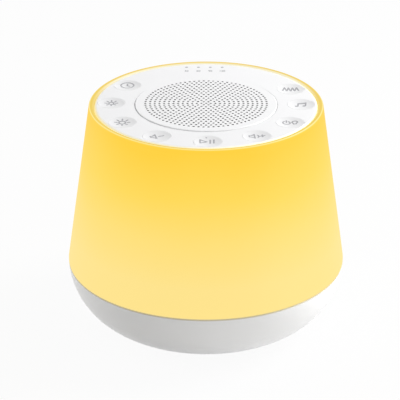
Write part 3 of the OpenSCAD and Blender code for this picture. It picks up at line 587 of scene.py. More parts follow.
def finish_inlet(name):
    """Bright stamped shell around a black tongue."""
    graph = Graph(name)
    x, _, z = graph.axes()
    centre = middle("power_inlet")
    half_w = (INLET_HIGH.x - INLET_LOW.x) / 2
    half_h = (INLET_HIGH.z - INLET_LOW.z) / 2
    beyond = (abs(x - centre.x) - (half_w - half_h)).math("MAXIMUM", 0.0)
    shell = reach(beyond, z - centre.z).ramp(half_h - 0.42 * MM, half_h - 0.36 * MM)
    stain = graph.noise(1.2 * MM, detail=3.0)
    steel = graph.mix(stain, linear(176, 177, 180), linear(205, 206, 209))
    return graph.surface({
        "Base Color": graph.mix(shell, linear(22, 22, 24), steel),
        "Metallic": shell,
        "Roughness": 0.5 - shell * 0.22 + stain * 0.08,
    })


def finish_board(name, shade, track):
    """Circuit board: lacquer over faint tracks that run along X and Y."""
    graph = Graph(name)
    x, y, _ = graph.axes()
    cell = graph.value("TexVoronoi", {"distance": "MANHATTAN"}, {
        "Vector": graph.place(), "Scale": 1 / (3.5 * MM), "Randomness": 0.8,
    }, output="Distance")
    lines = ((x + y) * (1 / (1.3 * MM))).math("FRACT").ramp(0.4, 0.5) * cell.ramp(0.3, 0.6)
    weave = graph.noise(0.3 * MM, detail=2.0)
    return graph.surface({
        "Base Color": graph.mix(lines * 0.8, shade, track),
        "Roughness": 0.35 + weave * 0.12,
        "Normal": graph.bump(lines, 0.02 * MM, 0.5),
    })


def finish_lamp(name):
    """White lamp housing with a yellow phosphor window in the middle of its top."""
    graph = Graph(name)
    speck = graph.noise(0.3 * MM, detail=2.0)
    up = graph.node("SeparateXYZ", {}, {0: graph.value("NewGeometry", output="Normal")})
    top = Value(graph, up.outputs["Z"]).ramp(0.8, 0.95)
    window = graph.mix(speck, linear(250, 226, 120), linear(255, 236, 150))
    return graph.surface({
        "Base Color": graph.mix(top, linear(236, 236, 232), window),
        "Roughness": 0.35 + speck * 0.1,
    })


def finish_paper(name, shade):
    """Pressed paper pulp: short fibres that lie all ways."""
    graph = Graph(name)
    fibres = graph.noise(0.5 * MM, detail=5.0, roughness=0.75)
    return graph.surface({
        "Base Color": graph.mix(fibres.ramp(0.35, 0.7), toned(shade, 0.7), toned(shade, 1.5)),
        "Roughness": 0.85 + fibres * 0.1,
        "Normal": graph.bump(fibres, 0.05 * MM),
    })


def finish_winding(name):
    """Copper wire wound on a paper former: one dark line between every two turns."""
    graph = Graph(name)
    x, y, z = graph.axes()
    turns = (z * (2 * math.pi / (0.22 * MM))).math("SINE") * 0.5 + 0.5
    coil_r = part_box("voice_coil")[1].x
    wound = reach(x, y).ramp(coil_r - 0.2 * MM, coil_r - 0.1 * MM)
    copper = graph.mix(turns, linear(110, 50, 28), linear(206, 122, 76))
    return graph.surface({
        "Base Color": graph.mix(wound, linear(150, 112, 70), copper),
        "Metallic": wound * 0.8,
        "Roughness": 0.55 - wound * 0.2,
        "Normal": graph.bump(turns * wound, 0.05 * MM),
    })


def finish_frosted(name):
    """Frosted clear plastic that carries light, with a fine haze."""
    graph = Graph(name)
    haze = graph.noise(0.3 * MM, detail=3.0)
    return graph.surface({
        "Base Color": graph.mix(haze, linear(172, 172, 174), linear(196, 196, 198)),
        "Roughness": 0.38 + haze * 0.15,
        "Normal": graph.bump(haze, 0.01 * MM),
    })


def inner_finishes(finishes):
    """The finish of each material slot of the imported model."""
    dark = linear(34, 34, 36)
    return {
        "white_shell": shared(finish_shell, finishes),
        "white_panel": shared(finish_panel, finishes),
        "foot_rubber": finish_rubber("foot_rubber", linear(118, 118, 120), 0.62),
        "screen_cloth": finish_cloth("screen_cloth", linear(58, 54, 53), 0.3 * MM),
        "clear_plastic": finish_frosted("clear_plastic"),
        "lamp_body": finish_lamp("lamp_body"),
        "board_green": finish_board("board_green", linear(16, 84, 48), linear(40, 122, 72)),
        "board_white": finish_board("board_white", linear(232, 232, 228), linear(214, 214, 208)),
        "board_tan": finish_moulding("board_tan", linear(168, 132, 84), 0.5),
        "screw_steel": finish_metal("screw_steel", linear(186, 187, 190), 0.32),
        "inlet_steel": finish_inlet("inlet_steel"),
        "black_plastic": finish_moulding("black_plastic", dark, 0.42),
        "ivory_plastic": finish_moulding("ivory_plastic", linear(232, 226, 204), 0.4),
        "black_steel": finish_metal("black_steel", dark, 0.42, metallic=0.0),
        "gasket_foam": finish_rubber("gasket_foam", linear(40, 40, 41), 0.9, 0.08 * MM),
        "plated_iron": finish_metal("plated_iron", linear(184, 182, 172), 0.38),
        "magnet_ferrite": finish_moulding("magnet_ferrite", linear(62, 62, 66), 0.55, 0.2 * MM),
        "cone_paper": finish_paper("cone_paper", linear(58, 57, 56)),
        "coil_copper": finish_winding("coil_copper"),
        "spider_cloth": finish_cloth("spider_cloth", linear(206, 160, 84), 0.45 * MM),
        "surround_rubber": finish_rubber("surround_rubber", linear(30, 30, 31), 0.5),
        "wire_red": finish_rubber("wire_red", linear(168, 28, 24), 0.42, 0.004 * MM),
        "cable_grey": finish_rubber("cable_grey", linear(196, 196, 198), 0.45, 0.004 * MM),
    }


# Mesh tools


def arc(centre, radius, start, end, steps):
    """Points on an arc of a half section, from one angle to another, in degrees."""
    turns = [math.radians(start + (end - start) * i / steps) for i in range(steps + 1)]
    return [
        (centre[0] + radius * math.cos(turn), centre[1] + radius * math.sin(turn))
        for turn in turns
    ]


def line(start, end, steps):
    """Points on a straight stretch of a half section, without its ends."""
    return [
        tuple(a + (b - a) * i / steps for a, b in zip(start, end)) for i in range(1, steps)
    ]


def around(count, radius, first):
    """Places on a circle, from the first bearing in degrees."""
    turns = [math.radians(first + 360 * i / count) for i in range(count)]
    return [(radius * math.cos(turn), radius * math.sin(turn)) for turn in turns]


def lathe(bm, section, steps, centre=(0, 0), closed=False):
    """Turns a half section of (radius, height) points about an upright axis."""
    x, y = centre
    verts = [bm.verts.new((x + radius, y, z)) for radius, z in section]
    pairs = list(zip(verts, verts[1:]))
    if closed:
        pairs.append((verts[-1], verts[0]))
    edges = [bm.edges.new(pair) for pair in pairs]
    bmesh.ops.spin(
        bm, geom=verts + edges, cent=(x, y, 0), axis=(0, 0, 1), dvec=(0, 0, 0),
        angle=math.tau, steps=steps, use_merge=True, use_duplicate=False,
    )
    bmesh.ops.remove_doubles(bm, verts=bm.verts, dist=SAME)


def fill_level(bm, z):
    """Closes the open edges at one height with a flat face that keeps its holes."""
    edges = [
        e for e in bm.edges
        if e.is_boundary and all(abs(v.co.z - z) < SAME for v in e.verts)
    ]
    bmesh.ops.triangle_fill(bm, edges=edges, use_beauty=True, use_dissolve=False)


def round_ring(bm, radius, z, width, centre=(0, 0), segments=3):
    """Rounds the corner that runs round an upright axis at one radius and height."""
    corner = math.radians(20)
    ring = [
        e for e in bm.edges
        if len(e.link_faces) == 2 and e.calc_face_angle(0) > corner and all(
            abs(v.co.z - z) < SAME
            and abs(math.hypot(v.co.x - centre[0], v.co.y - centre[1]) - radius) < SAME
            for v in e.verts
        )
    ]
    if not ring:
        raise RuntimeError(f"no corner at radius {radius:.5f} and height {z:.5f}")
    bmesh.ops.bevel(
        bm, geom=ring, offset=width, offset_type="OFFSET", segments=segments, profile=0.5,
        affect="EDGES", material=-1, clamp_overlap=True,
    )


def add_object(name, data):
    """Puts a mesh, a lamp or a camera into the scene as a new object."""
    made = bpy.data.objects.new(name, data)
    bpy.context.scene.collection.objects.link(made)
    return made


def new_object(bm, name):
    """Turns a bmesh into an object, with its faces turned outwards."""
    bmesh.ops.recalc_face_normals(bm, faces=bm.faces)
    mesh = bpy.data.meshes.new(name)
    bm.to_mesh(mesh)
    bm.free()
    return add_object(name, mesh)


def combine(piece, tool, operation):
    """Joins a tool object to a piece or cuts it out, and deletes the tool."""
    modifier = piece.modifiers.new("Combine", "BOOLEAN")
    modifier.operation = operation
    modifier.object = tool
    modifier.solver = "EXACT"
    graph = bpy.context.evaluated_depsgraph_get()
    result = bpy.data.meshes.new_from_object(piece.evaluated_get(graph))
    piece.modifiers.clear()
    old = piece.data
    piece.data = result
    bpy.data.meshes.remove(old)
    bpy.data.objects.remove(tool)


def smooth_faces(mesh):
    mesh.polygons.foreach_set("use_smooth", [True] * len(mesh.polygons))


def shade_smooth(piece, degrees=32):
    """Smooth shading that keeps the corners sharper than an angle."""
    smooth_faces(piece.data)
    piece.data.set_sharp_from_angle(angle=math.radians(degrees))
    modifier = piece.modifiers.new("Weighted Normal", "WEIGHTED_NORMAL")
    modifier.keep_sharp = True


def dress(piece, material, body):
    """Gives a finished piece its material and the body that it moves with."""
    piece.data.materials.clear()
    piece.data.materials.append(material)
    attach(piece, body)


def slot_bar(bm, width, height, start, end, z):
    """Bar with round ends along Y, width wide and height high."""
    upright = Matrix.Rotation(math.pi / 2, 4, "X")
    ring = bmesh.ops.create_circle(
        bm, cap_ends=True, segments=BAR_FACES, radius=height / 2, matrix=upright,
    )["verts"]
    for vert in ring:
        vert.co.x += math.copysign((width - height) / 2, vert.co.x)
        vert.co.y = start
        vert.co.z += z
    face = ring[0].link_faces[0]
    grown = bmesh.ops.extrude_face_region(bm, geom=[face])["geom"]
    verts = [item for item in grown if isinstance(item, bmesh.types.BMVert)]
    bmesh.ops.translate(bm, vec=(0, end - start, 0), verts=verts)


# Pieces


def bowl_point(sizes, radius, z):
    """Point of the bowl's round side at a height, for its outside or inside radius."""
    flat_r = sizes.body_r - sizes.bowl_r
    belly_z = BASE_LOW.z + sizes.bowl_r
    return flat_r + math.sqrt(radius ** 2 - (belly_z - z) ** 2), z


def base_section(sizes):
    """Half section of the base, from the groove's inner corner round to the inner floor."""
    flat_r = sizes.body_r - sizes.bowl_r
    belly_z = BASE_LOW.z + sizes.bowl_r
    seam_z = SHADE_LOW.z
    inner_r = sizes.bowl_r - sizes.base_wall
    socket_r = shade_inside(sizes, BASE_HIGH.z + sizes.seam_gap)
    collar_out = socket_r - sizes.collar_gap
    collar_in = collar_out - sizes.collar_wall
    root_z = seam_z - sizes.collar_root
    seam_turn = math.degrees(math.asin((belly_z - seam_z) / sizes.bowl_r))
    root_turn = math.degrees(math.asin((belly_z - root_z) / inner_r))
    return [
        (sizes.pad_in_r, BASE_LOW.z), (sizes.pad_in_r, FOOT_HIGH.z),
        (FOOT_HIGH.x, FOOT_HIGH.z), (FOOT_HIGH.x, BASE_LOW.z),
        *arc((flat_r, belly_z), sizes.bowl_r, -90, -seam_turn, 40),
        (collar_out, seam_z), (collar_out, BASE_HIGH.z), (collar_in, BASE_HIGH.z),
        (collar_in, root_z), *arc((flat_r, belly_z), inner_r, -root_turn, -90, 24),
    ]


def shade_outside(sizes, z):
    belly_z = BASE_LOW.z + sizes.bowl_r
    return sizes.body_r - (z - belly_z) * math.tan(sizes.taper)


def shade_inside(sizes, z):
    return shade_outside(sizes, z) - sizes.shade_wall


def shade_section(sizes):
    """Half section of the shade: seam, belly, side, rim, lip, ledge and inner wall."""
    flat_r = sizes.body_r - sizes.bowl_r
    belly_z = BASE_LOW.z + sizes.bowl_r
    seam_top = SHADE_LOW.z + sizes.seam_gap
    panel_bottom = PANEL_HIGH.z - bpy.context.scene.panel_sizes.thickness
    lip_r = PANEL_HIGH.x + bpy.context.scene.panel_sizes.gap
    rim_z = SHADE_HIGH.z - sizes.rim_r
    rim_x = shade_outside(sizes, rim_z) - sizes.rim_r / math.cos(sizes.taper)
    lip_z = SHADE_HIGH.z - sizes.lip_round
    groove_r = bowl_point(sizes, sizes.bowl_r, SHADE_LOW.z)[0] - sizes.seam_depth
    seam_turn = math.degrees(math.asin((belly_z - seam_top) / sizes.bowl_r))
    side_low = (sizes.body_r, belly_z)
    rim = arc((rim_x, rim_z), sizes.rim_r, math.degrees(sizes.taper), 90, 14)
    lip = arc((lip_r + sizes.lip_round, lip_z), sizes.lip_round, 90, 180, 9)
    ledge_r = lip_r - sizes.ledge_w
    ledge_z = panel_bottom - sizes.ledge_t
    socket_z = BASE_HIGH.z + sizes.seam_gap
    socket = (shade_inside(sizes, socket_z), socket_z)
    inside_top = (shade_inside(sizes, ledge_z), ledge_z)
    return [
        (groove_r, SHADE_LOW.z), (groove_r, seam_top),
        *arc((flat_r, belly_z), sizes.bowl_r, -seam_turn, 0, 5),
        *line(side_low, rim[0], 24), *rim, *lip,
        (lip_r, panel_bottom), (ledge_r, panel_bottom), (ledge_r, ledge_z),
        inside_top, *line(inside_top, socket, 12), socket, (socket[0], SHADE_LOW.z),
    ]


# Printed signs


class Pen:
    """Draws a sign's lines as flat ribs of ink on a plane, in millimetres."""

    def __init__(self, width):
        self.bm = bmesh.new()
        self.half = width / 2

    def dot(self, x, y, radius=None):
        bmesh.ops.create_uvsphere(
            self.bm, u_segments=16, v_segments=8, radius=radius or self.half,
            matrix=Matrix.Translation((x, y, 0)),
        )

    def rib(self, start, heading):
        """Ring of ink around a line's start, at right angles to its heading."""
        turn = Vector((0, 0, 1)).rotation_difference(heading).to_matrix().to_4x4()
        ring = bmesh.ops.create_circle(
            self.bm, cap_ends=False, segments=10, radius=self.half,
            matrix=Matrix.Translation((*start, 0)) @ turn,
        )["verts"]
        return ring, list({e for v in ring for e in v.link_edges})

    def line(self, start, end):
        """Straight line with round ends."""
        way = Vector((end[0] - start[0], end[1] - start[1], 0))
        steps = max(1, round(way.length / 0.7))
        _, edges = self.rib(start, way)
        for _ in range(steps):
            grown = bmesh.ops.extrude_edge_only(self.bm, edges=edges)["geom"]
            verts = [item for item in grown if isinstance(item, bmesh.types.BMVert)]
            edges = [
                item for item in grown
                if isinstance(item, bmesh.types.BMEdge) and item.is_boundary
            ]
            bmesh.ops.translate(self.bm, vec=way / steps, verts=verts)
        self.dot(*start)
        self.dot(*end)

    def path(self, points, closed=False):
        for start, end in zip(points, points[1:] + points[:1] if closed else points[1:]):
            self.line(start, end)

    def arc(self, x, y, radius, start=0, end=360):
        """Arc from one angle to another, in degrees."""
        first = math.radians(start)
        place = (x + radius * math.cos(first), y + radius * math.sin(first))
        ring, edges = self.rib(place, Vector((-math.sin(first), math.cos(first), 0)))
        whole = end - start >= 360
        bmesh.ops.spin(
            self.bm, geom=ring + edges, cent=(x, y, 0), axis=(0, 0, 1), dvec=(0, 0, 0),
            angle=math.radians(end - start), steps=max(4, round((end - start) / 12)),
            use_merge=whole, use_duplicate=False,
        )
        if not whole:
            last = math.radians(end)
            self.dot(*place)
            self.dot(x + radius * math.cos(last), y + radius * math.sin(last))

    def turn(self, degrees):
        bmesh.ops.rotate(
            self.bm, cent=(0, 0, 0), matrix=Matrix.Rotation(math.radians(degrees), 3, "Z"),
            verts=self.bm.verts,
        )


def draw_sun(pen, disc, inner, outer, rays):
    pen.arc(0, 0, disc)
    for i in range(rays):
        turn = math.tau * i / rays
        pen.line(
            (inner * math.cos(turn), inner * math.sin(turn)),
            (outer * math.cos(turn), outer * math.sin(turn)),
        )


def draw_horn(pen, x):
    """Outline of a loudspeaker."""
    pen.path([
        (x, -0.55), (x + 0.8, -0.55), (x + 1.9, -1.55), (x + 1.9, 1.55), (x + 0.8, 0.55), (x, 0.55),
    ], closed=True)


def draw_timer(pen):
    pen.arc(0, 0, 2.4)
    pen.path([(0, 1.4), (0, -0.1), (0.9, -0.5)])


def draw_light_down(pen):
    draw_sun(pen, 0.9, 1.55, 2.3, 8)


def draw_light_up(pen):
    draw_sun(pen, 1.15, 1.85, 2.7, 8)


def draw_volume_down(pen):
    draw_horn(pen, -2.3)
    pen.line((0.7, 0), (2.4, 0))
    pen.turn(14)


def draw_play_pause(pen):
    pen.path([(-2.7, -1.35), (-2.7, 1.35), (-0.3, 0)], closed=True)
    for x in (0.9, 2.2):
        pen.line((x, -1.35), (x, 1.35))
    pen.dot(-0.5, 2.9, 0.36)


def draw_volume_up(pen):
    draw_horn(pen, -2.6)
    pen.arc(-0.4, 0, 1.2, -45, 45)
    pen.line((1.3, 0), (2.9, 0))
    pen.line((2.1, -0.8), (2.1, 0.8))
    pen.turn(6)


def draw_power(pen):
    pen.arc(-1.2, -0.1, 1.3, 125, 415)
    pen.line((-1.2, 0.3), (-1.2, 1.6))
    pen.arc(1.8, 0.35, 0.95, -50, 230)
    pen.path([(1.25, -0.4), (1.35, -1.2), (2.25, -1.2), (2.35, -0.4)])


def draw_music(pen):
    for x, y in ((-1.7, -1.5), (1.1, -1.1)):
        pen.dot(x, y, 0.62)
        pen.line((x + 0.5, y), (x + 0.8, y + 2.6))
    pen.path([(-0.9, 1.1), (1.9, 1.5)])
    pen.path([(-0.95, 0.75), (1.85, 1.15)])


def draw_noise(pen):
    pen.path([(-3.0 + 0.75 * i, 1.4 if i % 2 else -1.4) for i in range(9)])


DRAWINGS = {
    "timer": draw_timer, "light_down": draw_light_down, "light_up": draw_light_up,
    "volume_down": draw_volume_down, "play_pause": draw_play_pause,
    "volume_up": draw_volume_up, "power": draw_power, "music": draw_music, "noise": draw_noise,
}
SIGNS = tuple(DRAWINGS)


def dish_ball(sizes):
    """Radius of the ball whose skin is the dish, and the height of its middle."""
    dish_r = sizes.radius - sizes.dish_edge
    ball_r = (dish_r ** 2 + sizes.dish_depth ** 2) / (2 * sizes.dish_depth)
    return ball_r, PANEL_HIGH.z - sizes.dish_depth + ball_r


def key_section(sizes):
    """Half section of a key, from the middle of its dish to the foot of its stem."""
    ball_r, ball_z = dish_ball(sizes)
    dish_r = sizes.radius - sizes.dish_edge
    rise = math.degrees(math.asin(dish_r / ball_r))
    cap_bottom = PANEL_HIGH.z - sizes.cap_t
    return [
        *arc((0, ball_z), ball_r, -90, rise - 90, 14), (sizes.radius, PANEL_HIGH.z),
        (sizes.radius, cap_bottom), (sizes.stem_r, cap_bottom), (sizes.stem_r, KEY_LOW.z),
        (0, KEY_LOW.z),
    ]


# Operators


class SOUNDMACHINE_OT_stage(bpy.types.Operator):
    """Sets the camera, the floor and the lights"""

    bl_idname = "sound_machine.stage"
    bl_label = "Stage"

    def execute(self, context):
        settings = context.scene.stage_settings
        context.scene.view_settings.view_transform = "Standard"
        self.make_camera(context, settings)
        self.make_floor(settings)
        self.make_lights(context, settings)
        return {"FINISHED"}

    def make_camera(self, context, settings):
        target = Vector((0, 0, settings.aim_z))
        back = Vector((0, -math.cos(settings.elevation), math.sin(settings.elevation)))
        right = Vector((1, 0, 0))
        up = back.cross(right)
        view = -back - right * math.tan(settings.turn) + up * math.tan(settings.tilt)
        camera = add_object("camera", bpy.data.cameras.new("camera"))
        camera.data.sensor_width = 36
        camera.data.lens = settings.lens
        camera.data.clip_start = 0.05
        camera.data.clip_end = 50
        camera.location = target + back * settings.distance
        camera.rotation_euler = view.to_track_quat("-Z", "Y").to_euler()
        context.scene.camera = camera

    def make_floor(self, settings):
        bm = bmesh.new()
        bmesh.ops.create_circle(bm, cap_ends=True, segments=64, radius=settings.floor_r)
        floor = new_object(bm, "floor")
        graph = Graph("floor_white")
        dust = graph.noise(60 * MM, detail=2.0)
        diffuse = graph.value("BsdfDiffuse", {}, {
            "Color": graph.mix(dust, linear(221, 221, 221), linear(225, 225, 225)),
        })
        plain = graph.value("Emission", {}, {"Color": (1.0, 1.0, 1.0, 1.0)})
        seen = self.seen_rays(graph)
        shader = graph.value("MixShader", {}, {0: seen * 0.94, 1: diffuse, 2: plain})
        graph.node("OutputMaterial", {}, {"Surface": shader})
        floor.data.materials.append(graph.owner)

    def seen_rays(self, graph):
        """1 for rays that come straight, by a mirror or through glass from the camera."""
        rays = graph.node("LightPath", {}, {})
        seen = Value(graph, rays.outputs["Is Camera Ray"])
        for kind in ("Is Glossy Ray", "Is Transmission Ray"):
            seen = seen.math("MAXIMUM", Value(graph, rays.outputs[kind]))
        return seen

    def make_lights(self, context, settings):
        world = bpy.data.worlds.new("sky")
        graph = Graph("sky", world)
        seen = self.seen_rays(graph)
        strength = seen * (1 - settings.sky) + settings.sky
        sky = graph.value("Background", {}, {
            "Color": (*linear(253, 253, 253), 1.0), "Strength": strength,
        })
        graph.node("OutputWorld", {}, {"Surface": sky})
        context.scene.world = world
        for name, place in LAMPS.items():
            self.add_lamp(name + "_light", getattr(settings, name + "_power"), *place)

    def add_lamp(self, name, power, distance, bearing, elevation):
        """Adds a round lamp that looks at the machine from a bearing and an elevation in degrees."""
        lamp = bpy.data.lights.new(name, "AREA")
        lamp.shape = "DISK"
        lamp.size = LAMP_SIZE
        lamp.energy = power
        made = add_object(name, lamp)
        level = math.cos(math.radians(elevation))
        towards = Vector((
            level * math.cos(math.radians(bearing)), level * math.sin(math.radians(bearing)),
            math.sin(math.radians(elevation)),
        ))
        made.location = Vector((0, 0, 50 * MM)) + towards * distance
        made.rotation_euler = (-towards).to_track_quat("-Z", "Y").to_euler()


class SOUNDMACHINE_OT_base_shell(bpy.types.Operator):
    """Makes the bowl-shaped base with its screw posts and the opening for the inlet"""

    bl_idname = "sound_machine.base_shell"
    bl_label = "Base Shell"

    def execute(self, context):
        sizes = context.scene.shell_sizes
        bm = bmesh.new()
        lathe(bm, base_section(sizes), BASE_FACES)
        floor_z = BASE_LOW.z + sizes.base_wall
        post = [
            (sizes.well_r, BASE_LOW.z), (sizes.well_r, sizes.well_top),
            (sizes.screw_hole_r, sizes.well_top), (sizes.screw_hole_r, sizes.post_top),
            (sizes.post_r, sizes.post_top), (sizes.post_r, floor_z),
        ]
        posts = around(4, sizes.post_ring_r, 45)
        for place in posts:
            lathe(bm, post, POST_FACES, centre=place)
        fill_level(bm, BASE_LOW.z)
        fill_level(bm, floor_z)
        self.round_corners(bm, sizes, posts)
        self.thicken_inlet_wall(bm, sizes)
        piece = new_object(bm, "base_bowl")
        self.cut_inlet(piece, sizes)
        shade_smooth(piece)
        material = shared(finish_shell, context.scene.finishes)
        dress(piece, material, "housing")
        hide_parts("base_shell")
        return {"FINISHED"}

    def round_corners(self, bm, sizes, posts):
        round_ring(bm, bowl_point(sizes, sizes.bowl_r, SHADE_LOW.z)[0], SHADE_LOW.z, sizes.edge_r)
        round_ring(bm, FOOT_HIGH.x, BASE_LOW.z, sizes.edge_r)
        for place in posts:
            round_ring(bm, sizes.well_r, BASE_LOW.z, sizes.edge_r, centre=place)

    def thicken_inlet_wall(self, bm, sizes):
        """Moves the inner wall behind the inlet inwards, so that the recess leaves a full wall."""
        centre = middle("power_inlet")
        face_y = INLET_HIGH.y - sizes.block_d
        skin = sizes.base_wall / 2
        for vert in bm.verts:
            x, y, z = vert.co
            near = face_y < y and abs(x) < sizes.block_w and abs(z - centre.z) < sizes.block_h
            if near and math.hypot(x, y) < bowl_point(sizes, sizes.bowl_r, z)[0] - skin:
                vert.co.y = face_y

    def cut_inlet(self, piece, sizes):
        centre = middle("power_inlet")
        width = INLET_HIGH.x - INLET_LOW.x
        height = INLET_HIGH.z - INLET_LOW.z
        through_y = INLET_LOW.y - 3 * MM
        floor_y = INLET_HIGH.y + sizes.inlet_step
        end_y = BASE_HIGH.y + 8 * MM
        for margin, start in ((sizes.inlet_gap, through_y), (sizes.inlet_recess, floor_y)):
            bm = bmesh.new()
            slot_bar(bm, width + 2 * margin, height + 2 * margin, start, end_y, centre.z)
            combine(piece, new_object(bm, "inlet_cutter"), "DIFFERENCE")


class SOUNDMACHINE_OT_lamp_shade(bpy.types.Operator):
    """Makes the tapered lamp shade with its rounded rim and the ledge for the panel"""

    bl_idname = "sound_machine.lamp_shade"
    bl_label = "Lamp Shade"

    def execute(self, context):
        sizes = context.scene.shell_sizes
        bm = bmesh.new()
        lathe(bm, shade_section(sizes), WIDE_FACES, closed=True)
        seam_top = SHADE_LOW.z + sizes.seam_gap
        round_ring(bm, bowl_point(sizes, sizes.bowl_r, seam_top)[0], seam_top, sizes.edge_r)
        piece = new_object(bm, "shade")
        shade_smooth(piece)
        dress(piece, finish_shade(context.scene.finishes), "housing")
        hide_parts("lamp_shade")
        return {"FINISHED"}


class SOUNDMACHINE_OT_top_panel(bpy.types.Operator):
    """Makes the panel with its openings for the grille, the keys and the timer lights"""

    bl_idname = "sound_machine.top_panel"
    bl_label = "Top Panel"

    def execute(self, context):
        sizes = context.scene.panel_sizes
        keys = context.scene.key_sizes
        top = PANEL_HIGH.z
        bottom = top - sizes.thickness
        shelf_z = GRILLE_HIGH.z - sizes.grille_t
        recess_r = GRILLE_HIGH.x + sizes.grille_gap
        opening_r = recess_r - sizes.shelf_w
        peg_ring_r = GRILLE_HIGH.x - sizes.shelf_w / 2
        bm = bmesh.new()
        edge, lip = sizes.edge, sizes.recess_edge
        outside = arc((PANEL_HIGH.x - edge, top - edge), edge, 90, 0, 8)
        lathe(bm, [*outside, (PANEL_HIGH.x, bottom)], WIDE_FACES)
        recess = arc((recess_r + lip, top - lip), lip, 90, 180, 5)
        lathe(bm, [*recess, (recess_r, shelf_z)], BASE_FACES)
        lathe(bm, [(opening_r, shelf_z), (opening_r, bottom)], BASE_FACES)
        peg_hole = [(sizes.peg_hole_r, shelf_z), (sizes.peg_hole_r, bottom)]
        for place in around(4, peg_ring_r, 45):
            lathe(bm, peg_hole, PIN_FACES, centre=place)
        holes = [(key_place(sign), keys.radius + keys.gap, KEY_HOLE_FACES) for sign in SIGNS]
        holes += [(place, sizes.light_hole_r, PIN_FACES) for place in light_places()]
        for place, radius, steps in holes:
            lathe(bm, [(radius, top), (radius, bottom)], steps, centre=place)
        boss = [
            (sizes.boss_r, bottom), (sizes.boss_r, PANEL_LOW.z), (sizes.boss_hole_r, PANEL_LOW.z),
            (sizes.boss_hole_r, bottom), (0, bottom),
        ]
        for bearing in BOSS_BEARINGS:
            lathe(bm, boss, BOSS_FACES, centre=around(1, sizes.boss_ring_r, bearing)[0])
        for level in (top, shelf_z, bottom):
            fill_level(bm, level)
        for place, radius, _ in holes:
            round_ring(bm, radius, top, sizes.hole_edge, centre=place, segments=2)
        piece = new_object(bm, "panel")
        shade_smooth(piece)
        material = shared(finish_panel, context.scene.finishes)
        dress(piece, material, "housing")
        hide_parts("top_panel")
        return {"FINISHED"}


def key_place(sign):
    centre = middle("key_" + sign)
    return centre.x, centre.y


def light_places():
    """Middles of the four timer lights, from left to right."""
    margin = (LIGHTS_HIGH.y - LIGHTS_LOW.y) / 2
    first, last = LIGHTS_LOW.x + margin, LIGHTS_HIGH.x - margin
    y = (LIGHTS_LOW.y + LIGHTS_HIGH.y) / 2
    return [(first + (last - first) * i / 3, y) for i in range(4)]


class SOUNDMACHINE_OT_keys(bpy.types.Operator):
    """Makes the nine dished keys with their stems and tabs"""

    bl_idname = "sound_machine.keys"
    bl_label = "Keys"

    def execute(self, context):
        sizes = context.scene.key_sizes
        pattern = self.make_pattern(context, sizes)
        material = finish_key(context.scene.finishes)
        for sign in SIGNS:
            x, y = key_place(sign)
            mesh = pattern.data.copy()
            mesh.name = sign + "_cap"
            turn = Matrix.Rotation(math.atan2(y, x), 4, "Z")
            mesh.transform(Matrix.Translation((x, y, 0)) @ turn)
            piece = add_object(mesh.name, mesh)
            shade_smooth(piece)
            dress(piece, material, sign + "_key")
            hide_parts("key_" + sign)
        bpy.data.objects.remove(pattern)
        return {"FINISHED"}

    def make_pattern(self, context, sizes):
        """One key about the upright axis, its tabs along Y."""
        bm = bmesh.new()
        lathe(bm, key_section(sizes), KEY_FACES)
        round_ring(bm, sizes.radius, PANEL_HIGH.z, sizes.edge, segments=2)
        pattern = new_object(bm, "key_pattern")
        bm = bmesh.new()
        tab_z = PANEL_HIGH.z - context.scene.panel_sizes.thickness - sizes.tab_rest
        bmesh.ops.create_cube(bm, size=1)
        bmesh.ops.scale(bm, vec=(sizes.tab_w, sizes.tab_l, sizes.tab_t), verts=bm.verts)
        bmesh.ops.translate(bm, vec=(0, 0, tab_z - sizes.tab_t / 2), verts=bm.verts)
        combine(pattern, new_object(bm, "key_tabs"), "UNION")
        return pattern


class SOUNDMACHINE_OT_signs(bpy.types.Operator):
    """Prints a sign into the dish of each key"""

    bl_idname = "sound_machine.signs"
    bl_label = "Key Signs"

    def execute(self, context):
        prints = context.scene.print_sizes
        keys = context.scene.key_sizes
        material = shared(finish_ink, context.scene.finishes)
        ball_r, ball_z = dish_ball(keys)
        for sign in SIGNS:
            x, y = key_place(sign)
            pen = Pen(prints.line_w / MM)
            DRAWINGS[sign](pen)
            bmesh.ops.remove_doubles(pen.bm, verts=pen.bm.verts, dist=SAME / MM)
            flatten = 2 * prints.ink_t / prints.line_w
            for vert in pen.bm.verts:
                flat = Vector(vert.co) * MM + Vector((0, prints.sign_rise, 0))
                dish_z = ball_z - math.sqrt(ball_r ** 2 - flat.x ** 2 - flat.y ** 2)
                ink_z = max(min(flat.z * flatten, prints.ink_t), -prints.ink_t)
                vert.co = (flat.x + x, flat.y + y, dish_z + ink_z)
            piece = new_object(pen.bm, sign + "_sign")
            smooth_faces(piece.data)
            dress(piece, material, sign + "_key")
        return {"FINISHED"}


class SOUNDMACHINE_OT_timer_numbers(bpy.types.Operator):
    """Prints the minutes in front of the four timer lights"""

    bl_idname = "sound_machine.timer_numbers"
    bl_label = "Timer Numbers"

    def execute(self, context):
        prints = context.scene.print_sizes
        material = shared(finish_ink, context.scene.finishes)
        for minutes, (x, y) in zip(MINUTES, light_places()):
            text = bpy.data.curves.new(f"minutes_{minutes}", "FONT")
            text.body = str(minutes)
            text.size = prints.number_h
            text.align_x = "CENTER"
            text.align_y = "CENTER"
            text.extrude = prints.ink_t / 2
            text.offset = prints.number_bold
            holder = bpy.data.objects.new(text.name, text)
            mesh = bpy.data.meshes.new_from_object(holder)
            bpy.data.objects.remove(holder)
            place = (x, y - prints.number_drop, PANEL_HIGH.z + prints.ink_t / 2)
            narrow = Matrix.Diagonal((prints.number_w, 1, 1, 1))
            mesh.transform(Matrix.Translation(place) @ narrow)
            piece = add_object(f"minutes_{minutes}", mesh)
            dress(piece, material, "housing")
        return {"FINISHED"}


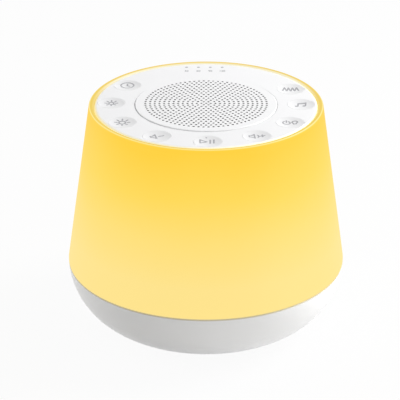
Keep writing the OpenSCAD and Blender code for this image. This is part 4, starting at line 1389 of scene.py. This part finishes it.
class SOUNDMACHINE_OT_node_finishes(bpy.types.Operator):
    """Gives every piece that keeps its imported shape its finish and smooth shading"""

    bl_idname = "sound_machine.node_finishes"
    bl_label = "Finishes"

    def execute(self, context):
        materials = inner_finishes(context.scene.finishes)
        for row in frame["record"]["subparts"]:
            node = frame["nodes"][row["node"]]
            material = materials.get(row["material_slot"])
            if row["node"] == "speaker_grille":
                material = finish_grille(context.scene.finishes)
            if material is None:
                continue
            node.data.materials.clear()
            node.data.materials.append(material)
            smooth_faces(node.data)
            weld = node.modifiers.new("Weld", "WELD")
            weld.merge_threshold = SAME
            split = node.modifiers.new("Edge Split", "EDGE_SPLIT")
            split.split_angle = math.radians(30)
        return {"FINISHED"}


class SOUNDMACHINE_PT_sidebar(bpy.types.Panel):
    """Lists the steps that make the sound machine"""

    bl_idname = "SOUNDMACHINE_PT_sidebar"
    bl_label = "Sound Machine"
    bl_space_type = "VIEW_3D"
    bl_region_type = "UI"
    bl_category = "Sound Machine"

    def draw(self, context):
        for step in STEPS:
            self.layout.operator(step.bl_idname)


STEPS = (
    SOUNDMACHINE_OT_stage, SOUNDMACHINE_OT_base_shell, SOUNDMACHINE_OT_lamp_shade,
    SOUNDMACHINE_OT_top_panel, SOUNDMACHINE_OT_keys, SOUNDMACHINE_OT_signs,
    SOUNDMACHINE_OT_timer_numbers, SOUNDMACHINE_OT_node_finishes,
)
GROUPS = {
    "shell_sizes": ShellSizes, "panel_sizes": PanelSizes, "key_sizes": KeySizes,
    "print_sizes": PrintSizes, "stage_settings": StageSettings, "finishes": Finishes,
}


def register():
    for group in (*GROUPS.values(), *STEPS, SOUNDMACHINE_PT_sidebar):
        bpy.utils.register_class(group)
    for name, group in GROUPS.items():
        setattr(bpy.types.Scene, name, PointerProperty(type=group))


def unregister():
    for name in GROUPS:
        delattr(bpy.types.Scene, name)
    for group in reversed((*GROUPS.values(), *STEPS, SOUNDMACHINE_PT_sidebar)):
        bpy.utils.unregister_class(group)


def main():
    register()
    for step in STEPS:
        family, name = step.bl_idname.split(".")
        getattr(getattr(bpy.ops, family), name)()


if __name__ == "__main__":
    main()
